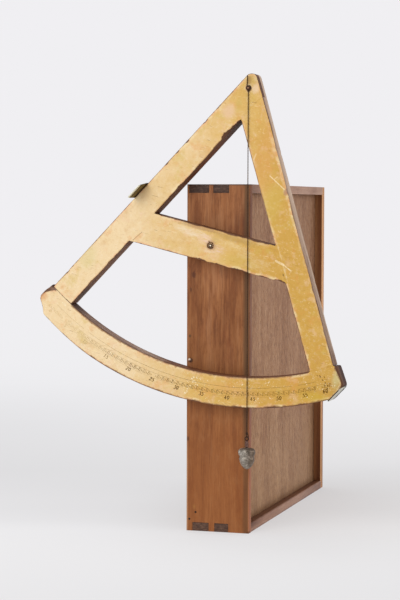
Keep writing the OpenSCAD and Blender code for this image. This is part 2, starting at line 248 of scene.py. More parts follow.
def wood_nodes(m, vec, tones, big=0.05, mid=0.17, fine=0.9, weights=(0.42, 0.33, 0.25), pores=0.5, pore=(1.9, 0.09, 0.60, 0.68), knots=(), wander=8.0, run=0.03):
    """Colour and height of planed wood with its grain along z. tones run from dark to light."""
    warp = m.noise(m.map(vec, (0.02, 0.02, 0.005)), 1.0, 3)
    w2 = m.node("ShaderNodeCombineXYZ")
    m.put(w2.inputs[0], m.math("MULTIPLY", m.math("SUBTRACT", warp, 0.5), wander))
    v = m.vmath("ADD", vec, w2.outputs[0])
    for k in knots:  # the grain bends round a knot
        d = m.vmath("LENGTH", m.vmath("MULTIPLY", m.vmath("SUBTRACT", vec, k[0]), (1, 1, 0.45)), None, 1)
        push = m.rng(d, 0.0, k[1] * 3.2, k[1] * 1.5, 0.0)
        s = m.node("ShaderNodeCombineXYZ")
        m.put(s.inputs[0], push)
        v = m.vmath("ADD", v, s.outputs[0])
    n1 = m.noise(m.map(v, (1, 1, 0.035)), fine, 4, 0.65)
    n2 = m.noise(m.map(v, (1, 1, run)), mid, 3, 0.55)
    n3 = m.noise(m.map(v, (1, 1, 0.12)), big, 3, 0.55)
    f = m.math("ADD", m.math("MULTIPLY", n3, weights[0]), m.math("MULTIPLY", n2, weights[1]))
    f = m.math("ADD", f, m.math("MULTIPLY", n1, weights[2]))
    col = m.ramp(f, [(0.34, tones[0]), (0.46, tones[1]), (0.55, tones[2]), (0.67, tones[3])])
    p1 = m.noise(m.map(v, (1, 1, pore[1])), pore[0], 2, 0.5)
    po = m.rng(p1, pore[2], pore[3])
    col = m.mix(m.math("MULTIPLY", po, pores), col, (tones[0][0] * 0.55, tones[0][1] * 0.52, tones[0][2] * 0.50, 1))
    h = m.math("SUBTRACT", m.math("MULTIPLY", n1, 0.7), m.math("MULTIPLY", po, 0.6))
    return col, h, n1, n3


# ---------------------------------------------------------------- mesh helpers
def closed_dense(pts, step):
    out = []
    n = len(pts)
    for i in range(n):
        a, b = np.array(pts[i], float), np.array(pts[(i + 1) % n], float)
        k = max(1, int(math.ceil(np.linalg.norm(b - a) / step)))
        out += [a + (b - a) * j / k for j in range(k)]
    return np.array(out)


def arc_pts(cx, cz, r, a0, a1, step=0.8):
    k = max(2, int(math.ceil(abs(a1 - a0) * r / step)))
    return [(cx + r * math.cos(a0 + (a1 - a0) * i / k), cz + r * math.sin(a0 + (a1 - a0) * i / k)) for i in range(k + 1)]


def area(l):
    x, z = l[:, 0], l[:, 1]
    return 0.5 * float((x * np.roll(z, -1) - np.roll(x, -1) * z).sum())


def inward(l):
    t = np.roll(l, -1, 0) - np.roll(l, 1, 0)
    t /= np.maximum(np.linalg.norm(t, axis=1), 1e-9)[:, None]
    return np.stack([-t[:, 1], t[:, 0]], 1)


def relax(l, times=2, w=0.5, keep=None):
    l = l.copy()
    for _ in range(times):
        m = (np.roll(l, 1, 0) + np.roll(l, -1, 0)) / 2
        d = (m - l) * w
        if keep is not None:
            d *= (1 - keep)[:, None]
        l += d
    return l


def inside(points, loops):
    points = np.asarray(points, float)
    hit = np.zeros(len(points), bool)
    for l in loops:
        a, b = l, np.roll(l, -1, 0)
        for s in range(0, len(points), 4000):
            p = points[s : s + 4000]
            up = (a[None, :, 1] > p[:, 1:2]) != (b[None, :, 1] > p[:, 1:2])
            dz = b[None, :, 1] - a[None, :, 1]
            dz = np.where(np.abs(dz) < 1e-12, 1e-12, dz)
            x = a[None, :, 0] + (p[:, 1:2] - a[None, :, 1]) / dz * (b[None, :, 0] - a[None, :, 0])
            hit[s : s + 4000] ^= ((up & (p[:, 0:1] < x)).sum(1) % 2).astype(bool)
    return hit


def fill(loops, spacing=None):
    """Triangles of the region inside the loops, with points of an even grid in it."""
    pts, edges = [], []
    for l in loops:
        s, n = len(pts), len(l)
        pts += [Vector(p) for p in l]
        edges += [(s + i, s + (i + 1) % n) for i in range(n)]
    if spacing:
        allp = np.concatenate(loops)
        tree = kdtree.KDTree(len(allp))
        for i, p in enumerate(allp):
            tree.insert((p[0], p[1], 0), i)
        tree.balance()
        lo, hi = allp.min(0), allp.max(0)
        rows = np.arange(lo[1] + spacing / 2, hi[1], spacing * 0.87)
        grid = []
        for j, z in enumerate(rows):
            xs = np.arange(lo[0] + spacing * (0.25 + 0.5 * (j % 2)), hi[0], spacing)
            grid.append(np.stack([xs, np.full(len(xs), z)], 1))
        grid = np.concatenate(grid)
        grid = grid[inside(grid, loops)]
        pts += [Vector(p) for p in grid if tree.find((p[0], p[1], 0))[2] > spacing * 0.45]
    v, _, f, *_ = delaunay_2d_cdt(pts, edges, [], 2, 1e-6)
    v = np.array([tuple(p) for p in v], float)
    f = np.array([tuple(t) for t in f if len(t) == 3], int)
    # thin triangles along a straight edge are kept, because their centre may fall on either side
    t = v[f]
    d1, d2 = t[:, 1] - t[:, 0], t[:, 2] - t[:, 0]
    far = np.maximum(np.hypot(*d1.T), np.maximum(np.hypot(*d2.T), np.hypot(*(d2 - d1).T)))
    thin = abs(d1[:, 0] * d2[:, 1] - d1[:, 1] * d2[:, 0]) < 0.008 * far
    f = f[inside(t.mean(1), loops) | thin]
    return v, f


def solid(loops, rings, front_grid=None, back_grid=None):
    """Closed solid from flat loops: rings of (depth, inset) from front to back. Returns points (a, b, depth) and faces."""
    loops = [np.asarray(l, float) for l in loops]
    loops = [l if (area(l) > 0) == (i == 0) else l[::-1] for i, l in enumerate(loops)]
    ns = [inward(l) for l in loops]
    verts, faces, start = [], [], []
    for d, ins in rings:
        row = []
        for l, n in zip(loops, ns):
            row.append(len(verts))
            q = l + n * ins
            verts += [(p[0], p[1], d) for p in q]
        start.append(row)
    for k in range(len(rings) - 1):
        for i, l in enumerate(loops):
            s0, s1, n = start[k][i], start[k + 1][i], len(l)
            faces += [(s0 + j, s1 + j, s1 + (j + 1) % n, s0 + (j + 1) % n) for j in range(n)]
    for k, flip, grid in ((0, False, front_grid), (len(rings) - 1, True, back_grid)):
        d, ins = rings[k]
        v, f = fill([l + n * ins for l, n in zip(loops, ns)], grid)
        s = len(verts)
        verts += [(p[0], p[1], d) for p in v]
        faces += [tuple(s + i for i in (t[::-1] if flip else t)) for t in f]
    return np.array(verts, float), faces


def warp(x, z, y):
    """Hand-planed shape: the right limb's outer side leans, and the arc narrows towards its left end."""
    u, v = x * S30 - z * C30, x * C30 + z * S30
    front = np.interp(u, [-14, -3, 45, 66, 92, 118, 143, 168, 192, 217, 240, 258, 283], [0.9, 1.2, 1.6, 1.1, 1.0, 0.4, -0.2, -0.6, -0.5, -0.6, -0.8, -1.1, -1.2])
    back = np.interp(u, [-14, 0, 25, 50, 100, 200, 240, 258, 283], [1.1, 1.1, 0.9, 0.5, 0.2, -0.5, -1.0, -0.9, -0.8])
    f = np.clip((Y_BACK - y) / 18, 0, 1)
    k = np.clip((v - 3) / 6, 0, 1)
    k = k * k * (3 - 2 * k) * np.clip((284.2 - u) / 1.5, 0, 1) * np.clip((u + 20) / 8, 0, 1)
    dv = (back + (front - back) * f) * k
    x, z = x + C30 * dv, z + S30 * dv
    r = np.hypot(x, z)
    t = np.degrees(np.arctan2(x, -z))
    a, b = np.clip((r - 298) / 14, 0, 1), np.clip((t + 31) / 14, 0, 1)
    dr = -2.4 * a * a * (3 - 2 * a) * (1 - b * b * (3 - 2 * b))
    m = 1 + np.where(r > 290, dr / np.maximum(r, 1), 0)
    return x * m, z * m


def frame_place(v):
    """Flat frame coordinates (x, z, y) to the row frame."""
    y = v[:, 2]
    x, z = warp(v[:, 0], v[:, 1], y)
    return np.stack([APX + x * CT + z * ST, y, APZ - x * ST + z * CT], 1)


def make(name, verts, faces, mat, body, nodes=(), slot=None, sharp=38, weld=2e-6, attrs=None):
    """Object from row-frame points in millimetres."""
    me = bpy.data.meshes.new(name)
    me.from_pydata([tuple(p * MM) for p in np.asarray(verts, float)], [], [tuple(int(i) for i in f) for f in faces])
    bm = bmesh.new()
    bm.from_mesh(me)
    if weld:
        bmesh.ops.remove_doubles(bm, verts=bm.verts, dist=weld)
    bmesh.ops.dissolve_degenerate(bm, dist=1e-7, edges=bm.edges)
    bmesh.ops.recalc_face_normals(bm, faces=bm.faces)
    bm.to_mesh(me)
    bm.free()
    ob = bpy.data.objects.new(name, me)
    bpy.context.scene.collection.objects.link(ob)
    finish_piece(ob, mat, body, nodes, slot, sharp, attrs)
    return ob


def finish_piece(ob, mat, body, nodes=(), slot=None, sharp=38, attrs=None):
    me = ob.data
    me.materials.clear()
    me.materials.append(mat)
    me.polygons.foreach_set("use_smooth", [True] * len(me.polygons))
    if sharp:
        me.set_sharp_from_angle(angle=math.radians(sharp))
    if attrs:
        co = np.zeros(len(me.vertices) * 3)
        me.vertices.foreach_get("co", co)
        co = co.reshape(-1, 3) / MM
        for key, fn in attrs.items():
            val = np.asarray(fn(co), float)
            if val.ndim == 2:
                a = me.attributes.new(key, "FLOAT_VECTOR", "POINT")
                a.data.foreach_set("vector", val.astype(np.float32).ravel())
            else:
                a = me.attributes.new(key, "FLOAT", "POINT")
                a.data.foreach_set("value", val.astype(np.float32))
    if body:
        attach(ob, body)
    if nodes:
        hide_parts(*nodes)


def box_mesh(corners_fn, a, b):
    """Box object from two corners in a space that corners_fn maps to the row frame, for cutting only."""
    v = np.array([(x, y, z) for x in (a[0], b[0]) for y in (a[1], b[1]) for z in (a[2], b[2])], float)
    f = [(0, 1, 3, 2), (4, 6, 7, 5), (0, 4, 5, 1), (2, 3, 7, 6), (0, 2, 6, 4), (1, 5, 7, 3)]
    return raw_object("cut", corners_fn(v), f)


def raw_object(name, verts, faces):
    me = bpy.data.meshes.new(name)
    me.from_pydata([tuple(p * MM) for p in np.asarray(verts, float)], [], [tuple(int(i) for i in f) for f in faces])
    bm = bmesh.new()
    bm.from_mesh(me)
    bmesh.ops.remove_doubles(bm, verts=bm.verts, dist=1e-6)
    bmesh.ops.recalc_face_normals(bm, faces=bm.faces)
    bm.to_mesh(me)
    bm.free()
    ob = bpy.data.objects.new(name, me)
    bpy.context.scene.collection.objects.link(ob)
    return ob


def boolean(ob, cutters):
    """Applies (object, operation) pairs to ob's mesh and removes the cutters."""
    for c, op in cutters:
        mod = ob.modifiers.new("cut", "BOOLEAN")
        mod.object, mod.operation, mod.solver = c, op, "EXACT"
    bpy.context.view_layer.update()
    dg = bpy.context.evaluated_depsgraph_get()
    me = bpy.data.meshes.new_from_object(ob.evaluated_get(dg), depsgraph=dg)
    ob.modifiers.clear()
    old = ob.data
    ob.data = me
    bpy.data.meshes.remove(old)
    for c, _ in cutters:
        d = c.data
        bpy.data.objects.remove(c)
        bpy.data.meshes.remove(d)
    bm = bmesh.new()
    bm.from_mesh(ob.data)
    bmesh.ops.remove_doubles(bm, verts=bm.verts, dist=1e-6)
    bmesh.ops.dissolve_degenerate(bm, dist=1e-7, edges=bm.edges)
    bm.to_mesh(ob.data)
    bm.free()
    return ob


def lathe(profile, n, place, wobble=None, close=True):
    """Turned solid: profile of (radius, along); place maps (x, y, along) to the row frame in millimetres."""
    verts, faces = [], []
    for k, (r, a) in enumerate(profile):
        for j in range(n):
            t = 2 * math.pi * j / n
            rr = r + (wobble(r, a, t) if wobble and r > 1e-6 else 0)
            verts.append((rr * math.cos(t), rr * math.sin(t), a))
    for k in range(len(profile) - 1):
        for j in range(n):
            faces.append((k * n + j, k * n + (j + 1) % n, (k + 1) * n + (j + 1) % n, (k + 1) * n + j))
    if not close:
        for j in range(n):
            k = len(profile) - 1
            faces.append((k * n + j, k * n + (j + 1) % n, (j + 1) % n, j))
    else:
        for k in (0, len(profile) - 1):
            if profile[k][0] > 1e-6:
                faces.append(tuple(k * n + j for j in range(n)))
    return place(np.array(verts, float)), faces


def rounded(profile, steps=3, cut=0.3):
    """Profile polyline with its inner corners rounded."""
    out = [profile[0]]
    for a, b, c in zip(profile[:-2], profile[1:-1], profile[2:]):
        a, b, c = np.array(a, float), np.array(b, float), np.array(c, float)
        la, lc = np.linalg.norm(a - b), np.linalg.norm(c - b)
        k = min(cut, la * 0.45, lc * 0.45)
        p, q = b + (a - b) / max(la, 1e-9) * k, b + (c - b) / max(lc, 1e-9) * k
        for i in range(steps + 1):
            t = i / steps
            out.append(tuple((1 - t) ** 2 * p + 2 * t * (1 - t) * b + t * t * q))
    out.append(profile[-1])
    return out


def along_y(x0, z0, tilt=False):
    """Turned piece whose axis runs along Y: along is the y value itself."""
    def fn(v):
        return np.stack([x0 + v[:, 0], v[:, 2], z0 + v[:, 1]], 1)
    return fn


def frames_along(path, start):
    path = np.asarray(path, float)
    t = np.gradient(path, axis=0)
    t /= np.maximum(np.linalg.norm(t, axis=1), 1e-9)[:, None]
    s, out = np.array(start, float), []
    for d in t:
        s = s - (s @ d) * d
        s /= max(np.linalg.norm(s), 1e-9)
        out.append((s.copy(), np.cross(d, s)))
    return out


def spaced(path, step):
    path = np.asarray(path, float)
    a = np.concatenate([[0], np.cumsum(np.linalg.norm(np.diff(path, axis=0), axis=1))])
    k = max(2, int(round(a[-1] / step)) + 1)
    at = np.linspace(0, a[-1], k)
    return np.stack([np.interp(at, a, path[:, i]) for i in range(3)], 1), at


def twine(path, d, start, lay=2.6, step=0.22, sides=12, plies=2, cyclic=False, fuzz=0.0):
    """Twisted thread: a cross-section of plies lobes that turns once in lay millimetres."""
    p, at = spaced(path, step)
    fr = frames_along(p, start)
    n = len(p)
    verts, faces = [], []
    if cyclic:
        p, at, fr, n = p[:-1], at[:-1], fr[:-1], n - 1
        lay = (at[-1] + step) / max(1, round((at[-1] + step) / lay))
    for i in range(n):
        s, b = fr[i]
        for k in range(sides):
            phi = 2 * math.pi * k / sides
            lob = abs(math.cos(plies / 2 * (phi - 2 * math.pi * at[i] / (lay * plies) * 2 / 2)))
            r = d / 2 * (0.84 + 0.19 * lob) * (1 + fuzz * nz(at[i] * 1.3, k * 0.7))
            verts.append(p[i] + r * (math.cos(phi) * s + math.sin(phi) * b))
    m = n if cyclic else n - 1
    for i in range(m):
        j = (i + 1) % n
        for k in range(sides):
            faces.append((i * sides + k, j * sides + k, j * sides + (k + 1) % sides, i * sides + (k + 1) % sides))
    if not cyclic:
        faces += [tuple(range(sides)), tuple((n - 1) * sides + k for k in range(sides))]
    return np.array(verts), faces


# ---------------------------------------------------------------- plumb line, made first
def linen():
    m = Mat("linen_thread", rough=0.85, spec=0.2)
    v = m.obj()
    n = m.noise(v, 1.1, 4, 0.7)
    n2 = m.noise(v, 0.06, 2, 0.5)
    c = m.ramp(m.math("ADD", m.math("MULTIPLY", n, 0.6), m.math("MULTIPLY", n2, 0.4)),
               [(0.35, srgb(38, 19, 7)), (0.5, srgb(62, 36, 16)), (0.65, srgb(96, 62, 32))])
    m.b.inputs["Sheen Weight"].default_value = 0.1
    return m.done(c, None, m.bump(m.noise(v, 7.0, 3, 0.6), 0.5, 0.00006))


M_THREAD = linen()
thread_path = [(APX, Y_LINE, APZ - z) for z in [2.2] + list(range(20, 321, 20)) + [THREAD_LEN]]
tv, tf = twine(thread_path, THREAD_D, (1, 0, 0), lay=2.7, step=0.26, fuzz=0.05)
thread = make("plumb_thread_twine", tv, tf, M_THREAD, "plumb", ["plumb_thread"], "thread", sharp=0, weld=0)


def ring_path(c, r, axis, n=48):
    out = []
    for i in range(n + 1):
        t = 2 * math.pi * i / n
        if axis == "y":
            out.append((c[0] + r * math.sin(t), c[1], c[2] + r * math.cos(t)))
        else:
            out.append((c[0], c[1] + r * math.sin(t), c[2] + r * math.cos(t)))
    return out


ev, ef = twine(ring_path((APX, Y_LINE, APZ), 2.05, "y"), THREAD_D, (0, 1, 0), step=0.2, cyclic=True)
# two turns of whipping below the eye
wv, wf = [], []
for i in range(3):
    c = (APX, Y_LINE, APZ - 2.75 - 0.42 * i)
    path = [(c[0] + 0.62 * math.cos(t), c[1] + 0.62 * math.sin(t), c[2] - 0.04 * math.sin(t)) for t in np.linspace(0, 2 * math.pi, 25)]
    a, b = twine(path, 0.42, (0, 0, 1), lay=1.2, step=0.15, sides=8, cyclic=True)
    wf += [tuple(x + len(ev) + len(wv) for x in f) for f in b]
    wv = list(wv) + list(a)
eye = make("thread_eye_loop", np.concatenate([ev, np.array(wv)]), ef + wf, M_THREAD, "plumb", ["thread_eye"], "thread", sharp=0, weld=0)


def knot_piece():
    """Overhand knot and the loop that holds the bob's eye."""
    kx, ky, kz = APX, Y_LINE, KNOT_Z
    verts, faces = [], []

    def add(v, f):
        faces.extend(tuple(x + len(verts) for x in q) for q in f)
        verts.extend(list(v))

    trefoil = []
    for t in np.linspace(0, 2 * math.pi, 90):
        x = 0.42 * (math.sin(t) + 2 * math.sin(2 * t))
        y = 0.42 * (math.cos(t) - 2 * math.cos(2 * t))
        z = -0.75 * math.sin(3 * t)
        trefoil.append((kx + x * 0.78, ky + y * 0.78, kz - 1.25 + z * 0.75))
    add(*twine(trefoil, 0.86, (0, 0, 1), lay=2.2, step=0.2, sides=10, cyclic=True))
    add(*twine(ring_path((kx, ky, kz - 3.75), 1.2, "x"), THREAD_D, (1, 0, 0), step=0.2, cyclic=True))
    # whipping turns on the neck, as the dark sleeve above the bob
    for i in range(5):
        c = (kx, ky, kz - 2.0 + 0.5 * i)
        path = [(c[0] + 0.78 * math.cos(t), c[1] + 0.78 * math.sin(t), c[2]) for t in np.linspace(0, 2 * math.pi, 25)]
        add(*twine(path, 0.5, (0, 0, 1), lay=1.3, step=0.18, sides=8, cyclic=True))
    # short free end
    add(*twine([(kx + 0.9, ky - 0.3, kz - 1.4), (kx + 1.7, ky - 0.8, kz - 1.8), (kx + 2.0, ky - 0.9, kz - 3.4), (kx + 1.9, ky - 0.8, kz - 4.6)],
               0.7, (0, 1, 0), lay=2.0, step=0.2, sides=8))
    return make("thread_knot_tied", np.array(verts), faces, M_THREAD, "plumb", ["thread_knot"], "thread", sharp=0, weld=0)


knot = knot_piece()


def iron(name, base=(52, 44, 40), rust=(96, 62, 44), rough=0.5):
    m = Mat(name, rough=rough, metal=0.75, spec=0.5)
    v = m.obj()
    n = m.noise(v, 0.55, 5, 0.65)
    c = m.ramp(n, [(0.38, srgb(*[x * 0.75 for x in base])), (0.52, srgb(*base)), (0.64, srgb(*rust))])
    r = m.rng(n, 0.35, 0.7, rough - 0.1, rough + 0.25)
    return m.done(c, r, m.bump(m.noise(v, 2.2, 4, 0.6), 0.35, 0.00012))


M_IRON = iron("dark_iron")
M_RUST = iron("rusty_wire", (70, 46, 38), (112, 76, 64), 0.6)


def bob_eye_piece():
    x0, y0, z0 = APX, Y_LINE, BOB_Z
    path = ring_path((x0, y0, z0 + 9), 1.75, "y", 60)
    verts, faces = [], []

    def add(v, f):
        faces.extend(tuple(x + len(verts) for x in q) for q in f)
        verts.extend(list(v))

    p, at = spaced(path, 0.3)
    fr = frames_along(p, (0, 1, 0))
    n, s = len(p) - 1, 10
    rv = [p[i] + 0.55 * (1 + 0.05 * nz(at[i])) * (math.cos(2 * math.pi * k / s) * fr[i][0] + math.sin(2 * math.pi * k / s) * fr[i][1]) for i in range(n) for k in range(s)]
    rf = [(i * s + k, ((i + 1) % n) * s + k, ((i + 1) % n) * s + (k + 1) % s, i * s + (k + 1) % s) for i in range(n) for k in range(s)]
    add(rv, rf)
    prof = [(0, z0 - 4), (0.9, z0 - 4)] + [(0.9 + 0.07 * math.sin(i * 1.9), z0 - 4 + i * 0.35) for i in range(1, 31)] + [(0.8, z0 + 6.9), (0, z0 + 7.1)]
    add(*lathe(prof, 14, lambda v: np.stack([x0 + v[:, 0], y0 + v[:, 1], v[:, 2]], 1)))
    return make("bob_eye_wire", np.array(verts), faces, M_RUST, "plumb", ["bob_eye"], "iron", sharp=50, weld=0)


bob_eye = bob_eye_piece()


def whipping_piece():
    """Turns of thin twine round the neck of the bob."""
    verts, faces = [], []
    m = Mat("whipping_twine", rough=0.8, spec=0.2)
    v = m.obj()
    n = m.noise(v, 0.9, 4, 0.7)
    mat = m.done(m.ramp(n, [(0.35, srgb(72, 50, 42)), (0.5, srgb(108, 80, 70)), (0.65, srgb(142, 110, 98))]), None, m.bump(m.noise(v, 6.0, 3), 0.4, 0.00006))
    path = []
    turns, z0, z1 = 11, BOB_Z + 0.5, BOB_Z + 6.6
    for i in range(turns * 20 + 1):
        t = i / 20
        k = i / (turns * 20)
        r = 1.35 + 0.28 * math.sin(math.pi * min(1, k * 1.15)) + 0.06 * nz(t * 1.7)
        path.append((APX + r * math.cos(2 * math.pi * t), Y_LINE + r * math.sin(2 * math.pi * t), z0 + (z1 - z0) * k + 0.05 * nz(t * 2.3, 4)))
    return make("bob_neck_whipping", *twine(path, 0.62, (0, 0, 1), lay=1.3, step=0.24, sides=8), mat, "plumb", [], "thread", sharp=0, weld=0)


whip = whipping_piece()


def lead():
    m = Mat("dented_lead", rough=0.42, metal=0.8, spec=0.5)
    v = m.obj()
    n = m.noise(v, 0.22, 5, 0.62)
    n2 = m.noise(v, 0.9, 4, 0.65)
    c = m.ramp(m.math("ADD", m.math("MULTIPLY", n, 0.55), m.math("MULTIPLY", n2, 0.45)),
               [(0.34, srgb(78, 72, 62)), (0.45, srgb(130, 123, 112)), (0.55, srgb(160, 152, 141)), (0.66, srgb(200, 193, 182))])
    line = m.rng(m.math("ABSOLUTE", m.math("SUBTRACT", m.noise(v, 0.30, 2, 0.5), 0.52)), 0.0, 0.022, 1.0, 0.0)
    c = m.mix(m.math("MULTIPLY", line, 0.6), c, srgb(62, 54, 44))
    # painted shade and highlight: duller and browner on the right, lighter patches on the left
    sep = m.node("ShaderNodeSeparateXYZ")
    m.put(sep.inputs[0], v)
    c = m.mix(m.rng(sep.outputs[0], APX - 2, APX + 8), c, m.mix(1.0, c, srgb(196, 178, 166), "MULTIPLY"))
    painted_left_highlight = m.math("MULTIPLY", m.rng(sep.outputs[0], APX - 2.5, APX - 6.5), m.rng(m.noise(v, 0.35, 3, 0.6), 0.46, 0.58))
    c = m.mix(m.math("MULTIPLY", painted_left_highlight, 0.75), c, srgb(226, 220, 208))
    r = m.rng(n2, 0.3, 0.7, 0.32, 0.6)
    nb = m.bump(m.noise(v, 0.3, 3, 0.6), 0.5, 0.0009)
    return m.done(c, r, m.bump(n2, 0.4, 0.0002, nb))


def bob_piece():
    R = 8.8
    prof = [(0, 0), (3, 0), (7.2, -0.9), (R, -3), (R - 0.3, -6), (R - 1.4, -8.2), (R - 1.3, -9.6), (R - 0.8, -11.2),
            (R - 1.9, -15), (R - 4.1, -18.6), (2.2, -20.7), (0, -21.4)]
    p = rounded(prof, 3, 1.2)
    fine = [p[0]]
    for a, b in zip(p[:-1], p[1:]):
        k = max(1, int(math.ceil(math.dist(a, b) / 0.55)))
        fine += [(a[0] + (b[0] - a[0]) * i / k, a[1] + (b[1] - a[1]) * i / k) for i in range(1, k + 1)]
    fine = [(max(r, 0.0), a) for r, a in fine]

    def dents(r, a, t):
        x, y = math.cos(t) * 2.0, math.sin(t) * 2.0
        k = min(1.0, r / 3)
        d = 0.22 * nz(x * 0.9, y * 0.9, a * 0.22) + 0.16 * nz(x * 2.2 + 5, y * 2.2, a * 0.6)
        for (ct, ca, rad, dep) in ((-1.9, -4.5, 0.55, 0.5), (-1.2, -12.5, 0.45, 0.42), (-2.6, -14.0, 0.6, 0.45), (-0.6, -5.5, 0.4, 0.35), (1.3, -6.0, 0.6, 0.5), (2.6, -13.0, 0.5, 0.4)):
            dt = math.atan2(math.sin(t - ct), math.cos(t - ct))
            q = (dt / rad) ** 2 + ((a - ca) / (rad * 6)) ** 2
            d -= dep * math.exp(-q * 1.6)
        return min(0.0, d - 0.12) * k

    v, f = lathe(fine, 72, lambda v: np.stack([APX + v[:, 0], Y_LINE + v[:, 1], BOB_Z + v[:, 2]], 1), dents)
    return make("lead_bob", v, f, lead(), "plumb", ["plumb_bob"], "lead", sharp=60)


bob = bob_piece()
[tuple(c * MM for c in p) for p in thread_path]


# ---------------------------------------------------------------- case
GRAIN_Z = (0, 0, 0)                    # grain already along z
GRAIN_Y = (math.radians(90), 0, 0)     # turns y into z


def near(m, vec, c, r0, r1, k, s=(1, 1, 1)):
    """k near the point c, 0 beyond r1."""
    d = m.vmath("LENGTH", m.vmath("MULTIPLY", m.vmath("SUBTRACT", vec, c), s), None, 1)
    return m.rng(d, r0, r1, k, 0.0)


def case_front_mat():
    m = Mat("case_front_wood", rough=0.5, spec=0.22)
    v = m.obj(GRAIN_Z)
    tones = [srgb(128, 76, 40), srgb(155, 99, 55), srgb(171, 113, 66), srgb(194, 137, 86)]
    col, h, n1, n3 = wood_nodes(m, v, tones, big=0.07, mid=0.26, fine=1.1, weights=(0.34, 0.30, 0.36), pores=0.3, knots=(((-27.5, -163, 256.0), 3.2),), wander=14.0, run=0.03)
    sep = m.node("ShaderNodeSeparateXYZ")
    m.put(sep.inputs[0], v)
    flat = m.map(v, rot=(math.radians(-90), 0, 0))
    mott = m.noise(m.map(v, (1, 1, 0.5)), 0.035, 4, 0.6)
    # browner above, more orange below, blotched in between
    up = m.math("ADD", sep.outputs[2], m.math("MULTIPLY", m.math("SUBTRACT", mott, 0.5), 160.0))
    col = m.mix(m.math("MULTIPLY", m.rng(up, 110, 300), 0.75), col, m.mix(1.0, col, srgb(252, 246, 255), "MULTIPLY"))
    col = m.mix(m.math("MULTIPLY", m.rng(up, 190, 60), 0.7), col, m.mix(1.0, col, srgb(244, 226, 204), "MULTIPLY"))
    # small soft blotches of the old stain, a little darker half-way up
    bl = m.noise(m.map(v, (1, 1, 0.45)), 0.11, 5, 0.65)
    col = m.mix(m.rng(bl, 0.50, 0.68, 0.0, 0.45), col, m.mix(1.0, col, srgb(204, 184, 168), "MULTIPLY"))
    col = m.mix(m.rng(bl, 0.48, 0.33, 0.0, 0.22), col, srgb(184, 132, 86))
    half = m.math("MULTIPLY", m.rng(up, 90, 170), m.rng(up, 290, 210))
    col = m.mix(m.math("MULTIPLY", half, 0.6), col, m.mix(1.0, col, srgb(230, 224, 218), "MULTIPLY"))
    red = m.rng(mott, 0.52, 0.66)
    col = m.mix(m.math("MULTIPLY", red, 0.45), col, m.mix(1.0, col, srgb(222, 190, 180), "MULTIPLY"))
    # long streaks, dark and light
    st = m.noise(m.map(v, (1, 1, 0.045)), 0.34, 3, 0.6)
    col = m.mix(m.math("MULTIPLY", m.rng(st, 0.58, 0.74), 0.36), col, srgb(98, 56, 32))
    col = m.mix(m.math("MULTIPLY", m.rng(st, 0.40, 0.26), 0.25), col, srgb(190, 138, 90))
    # broad bands of darker and lighter stain in the upper half
    upper = m.rng(sep.outputs[2], 120, 230)
    wide = m.noise(m.map(v, (1, 1, 0.09), loc=(3, 0, 0)), 0.12, 4, 0.6)
    col = m.mix(m.math("MULTIPLY", m.math("MULTIPLY", m.rng(wide, 0.50, 0.64), upper), 0.55), col, m.mix(1.0, col, srgb(190, 164, 148), "MULTIPLY"))
    col = m.mix(m.math("MULTIPLY", m.math("MULTIPLY", m.rng(wide, 0.49, 0.36), upper), 0.42), col, srgb(182, 128, 88))
    fib = m.rng(m.noise(m.map(v, (1, 1, 0.05), loc=(8, 0, 1)), 0.75, 3, 0.6), 0.56, 0.66)
    col = m.mix(m.math("MULTIPLY", fib, 0.3), col, srgb(104, 62, 40))
    # smoother and more even towards the foot
    col = m.mix(m.rng(sep.outputs[2], 185, 45, 0.0, 0.48), col, srgb(143, 84, 42))
    # darker band beside the right edge, and a painted highlight along the arris below it
    wav = m.math("ADD", sep.outputs[0], m.math("MULTIPLY", m.math("SUBTRACT", m.noise(m.map(v, (1, 1, 0.1)), 0.12, 3), 0.5), 3.0))
    low = m.rng(sep.outputs[2], 40, 175)
    band = m.math("MULTIPLY", m.rng(wav, 24.4, 28.6), m.math("ADD", 0.50, m.math("MULTIPLY", low, 0.27)))
    band = m.math("MULTIPLY", band, m.rng(sep.outputs[0], 32.0, 31.2, 0.35, 1.0))
    col = m.mix(band, col, srgb(84, 62, 40))
    arris = m.math("MULTIPLY", m.rng(sep.outputs[0], 31.2, 32.0), m.rng(sep.outputs[2], 70, 40))
    col = m.mix(m.math("MULTIPLY", arris, 0.35), col, srgb(186, 132, 96))
    col = m.mix(m.math("MULTIPLY", m.rng(sep.outputs[0], 31.8, 32.3), m.rng(sep.outputs[2], 160, 95, 0.16, 0.75)), col, srgb(196, 126, 84))
    col = m.mix(m.math("MULTIPLY", m.rng(sep.outputs[0], 32.1, 32.4), m.rng(sep.outputs[2], 180, 60, 0.3, 1.0)), col, m.mix(1.0, col, srgb(212, 196, 184), "MULTIPLY"))
    col = m.mix(m.math("MULTIPLY", m.rng(sep.outputs[0], 32.0, 32.3), m.rng(sep.outputs[2], 50, 90, 0.0, 0.55)), col, m.mix(1.0, col, srgb(196, 178, 166), "MULTIPLY"))
    col = m.mix(near(m, v, (32.5, -163, 0), 1.0, 3.4, 0.6, (1, 0.3, 1)), col, srgb(74, 44, 28))
    col = m.mix(near(m, v, (-32.5, -163, 0), 0.8, 2.8, 0.6, (1, 0.3, 1)), col, srgb(74, 44, 28))
    left = m.math("MULTIPLY", m.rng(sep.outputs[0], -30.6, -32.0), m.rng(sep.outputs[2], 130, 60))
    col = m.mix(m.math("MULTIPLY", left, 0.6), col, srgb(206, 158, 120))
    # dirty top edge
    col = m.mix(m.math("MULTIPLY", m.rng(sep.outputs[2], 346.6, 348.2), 0.7), col, srgb(64, 44, 38))
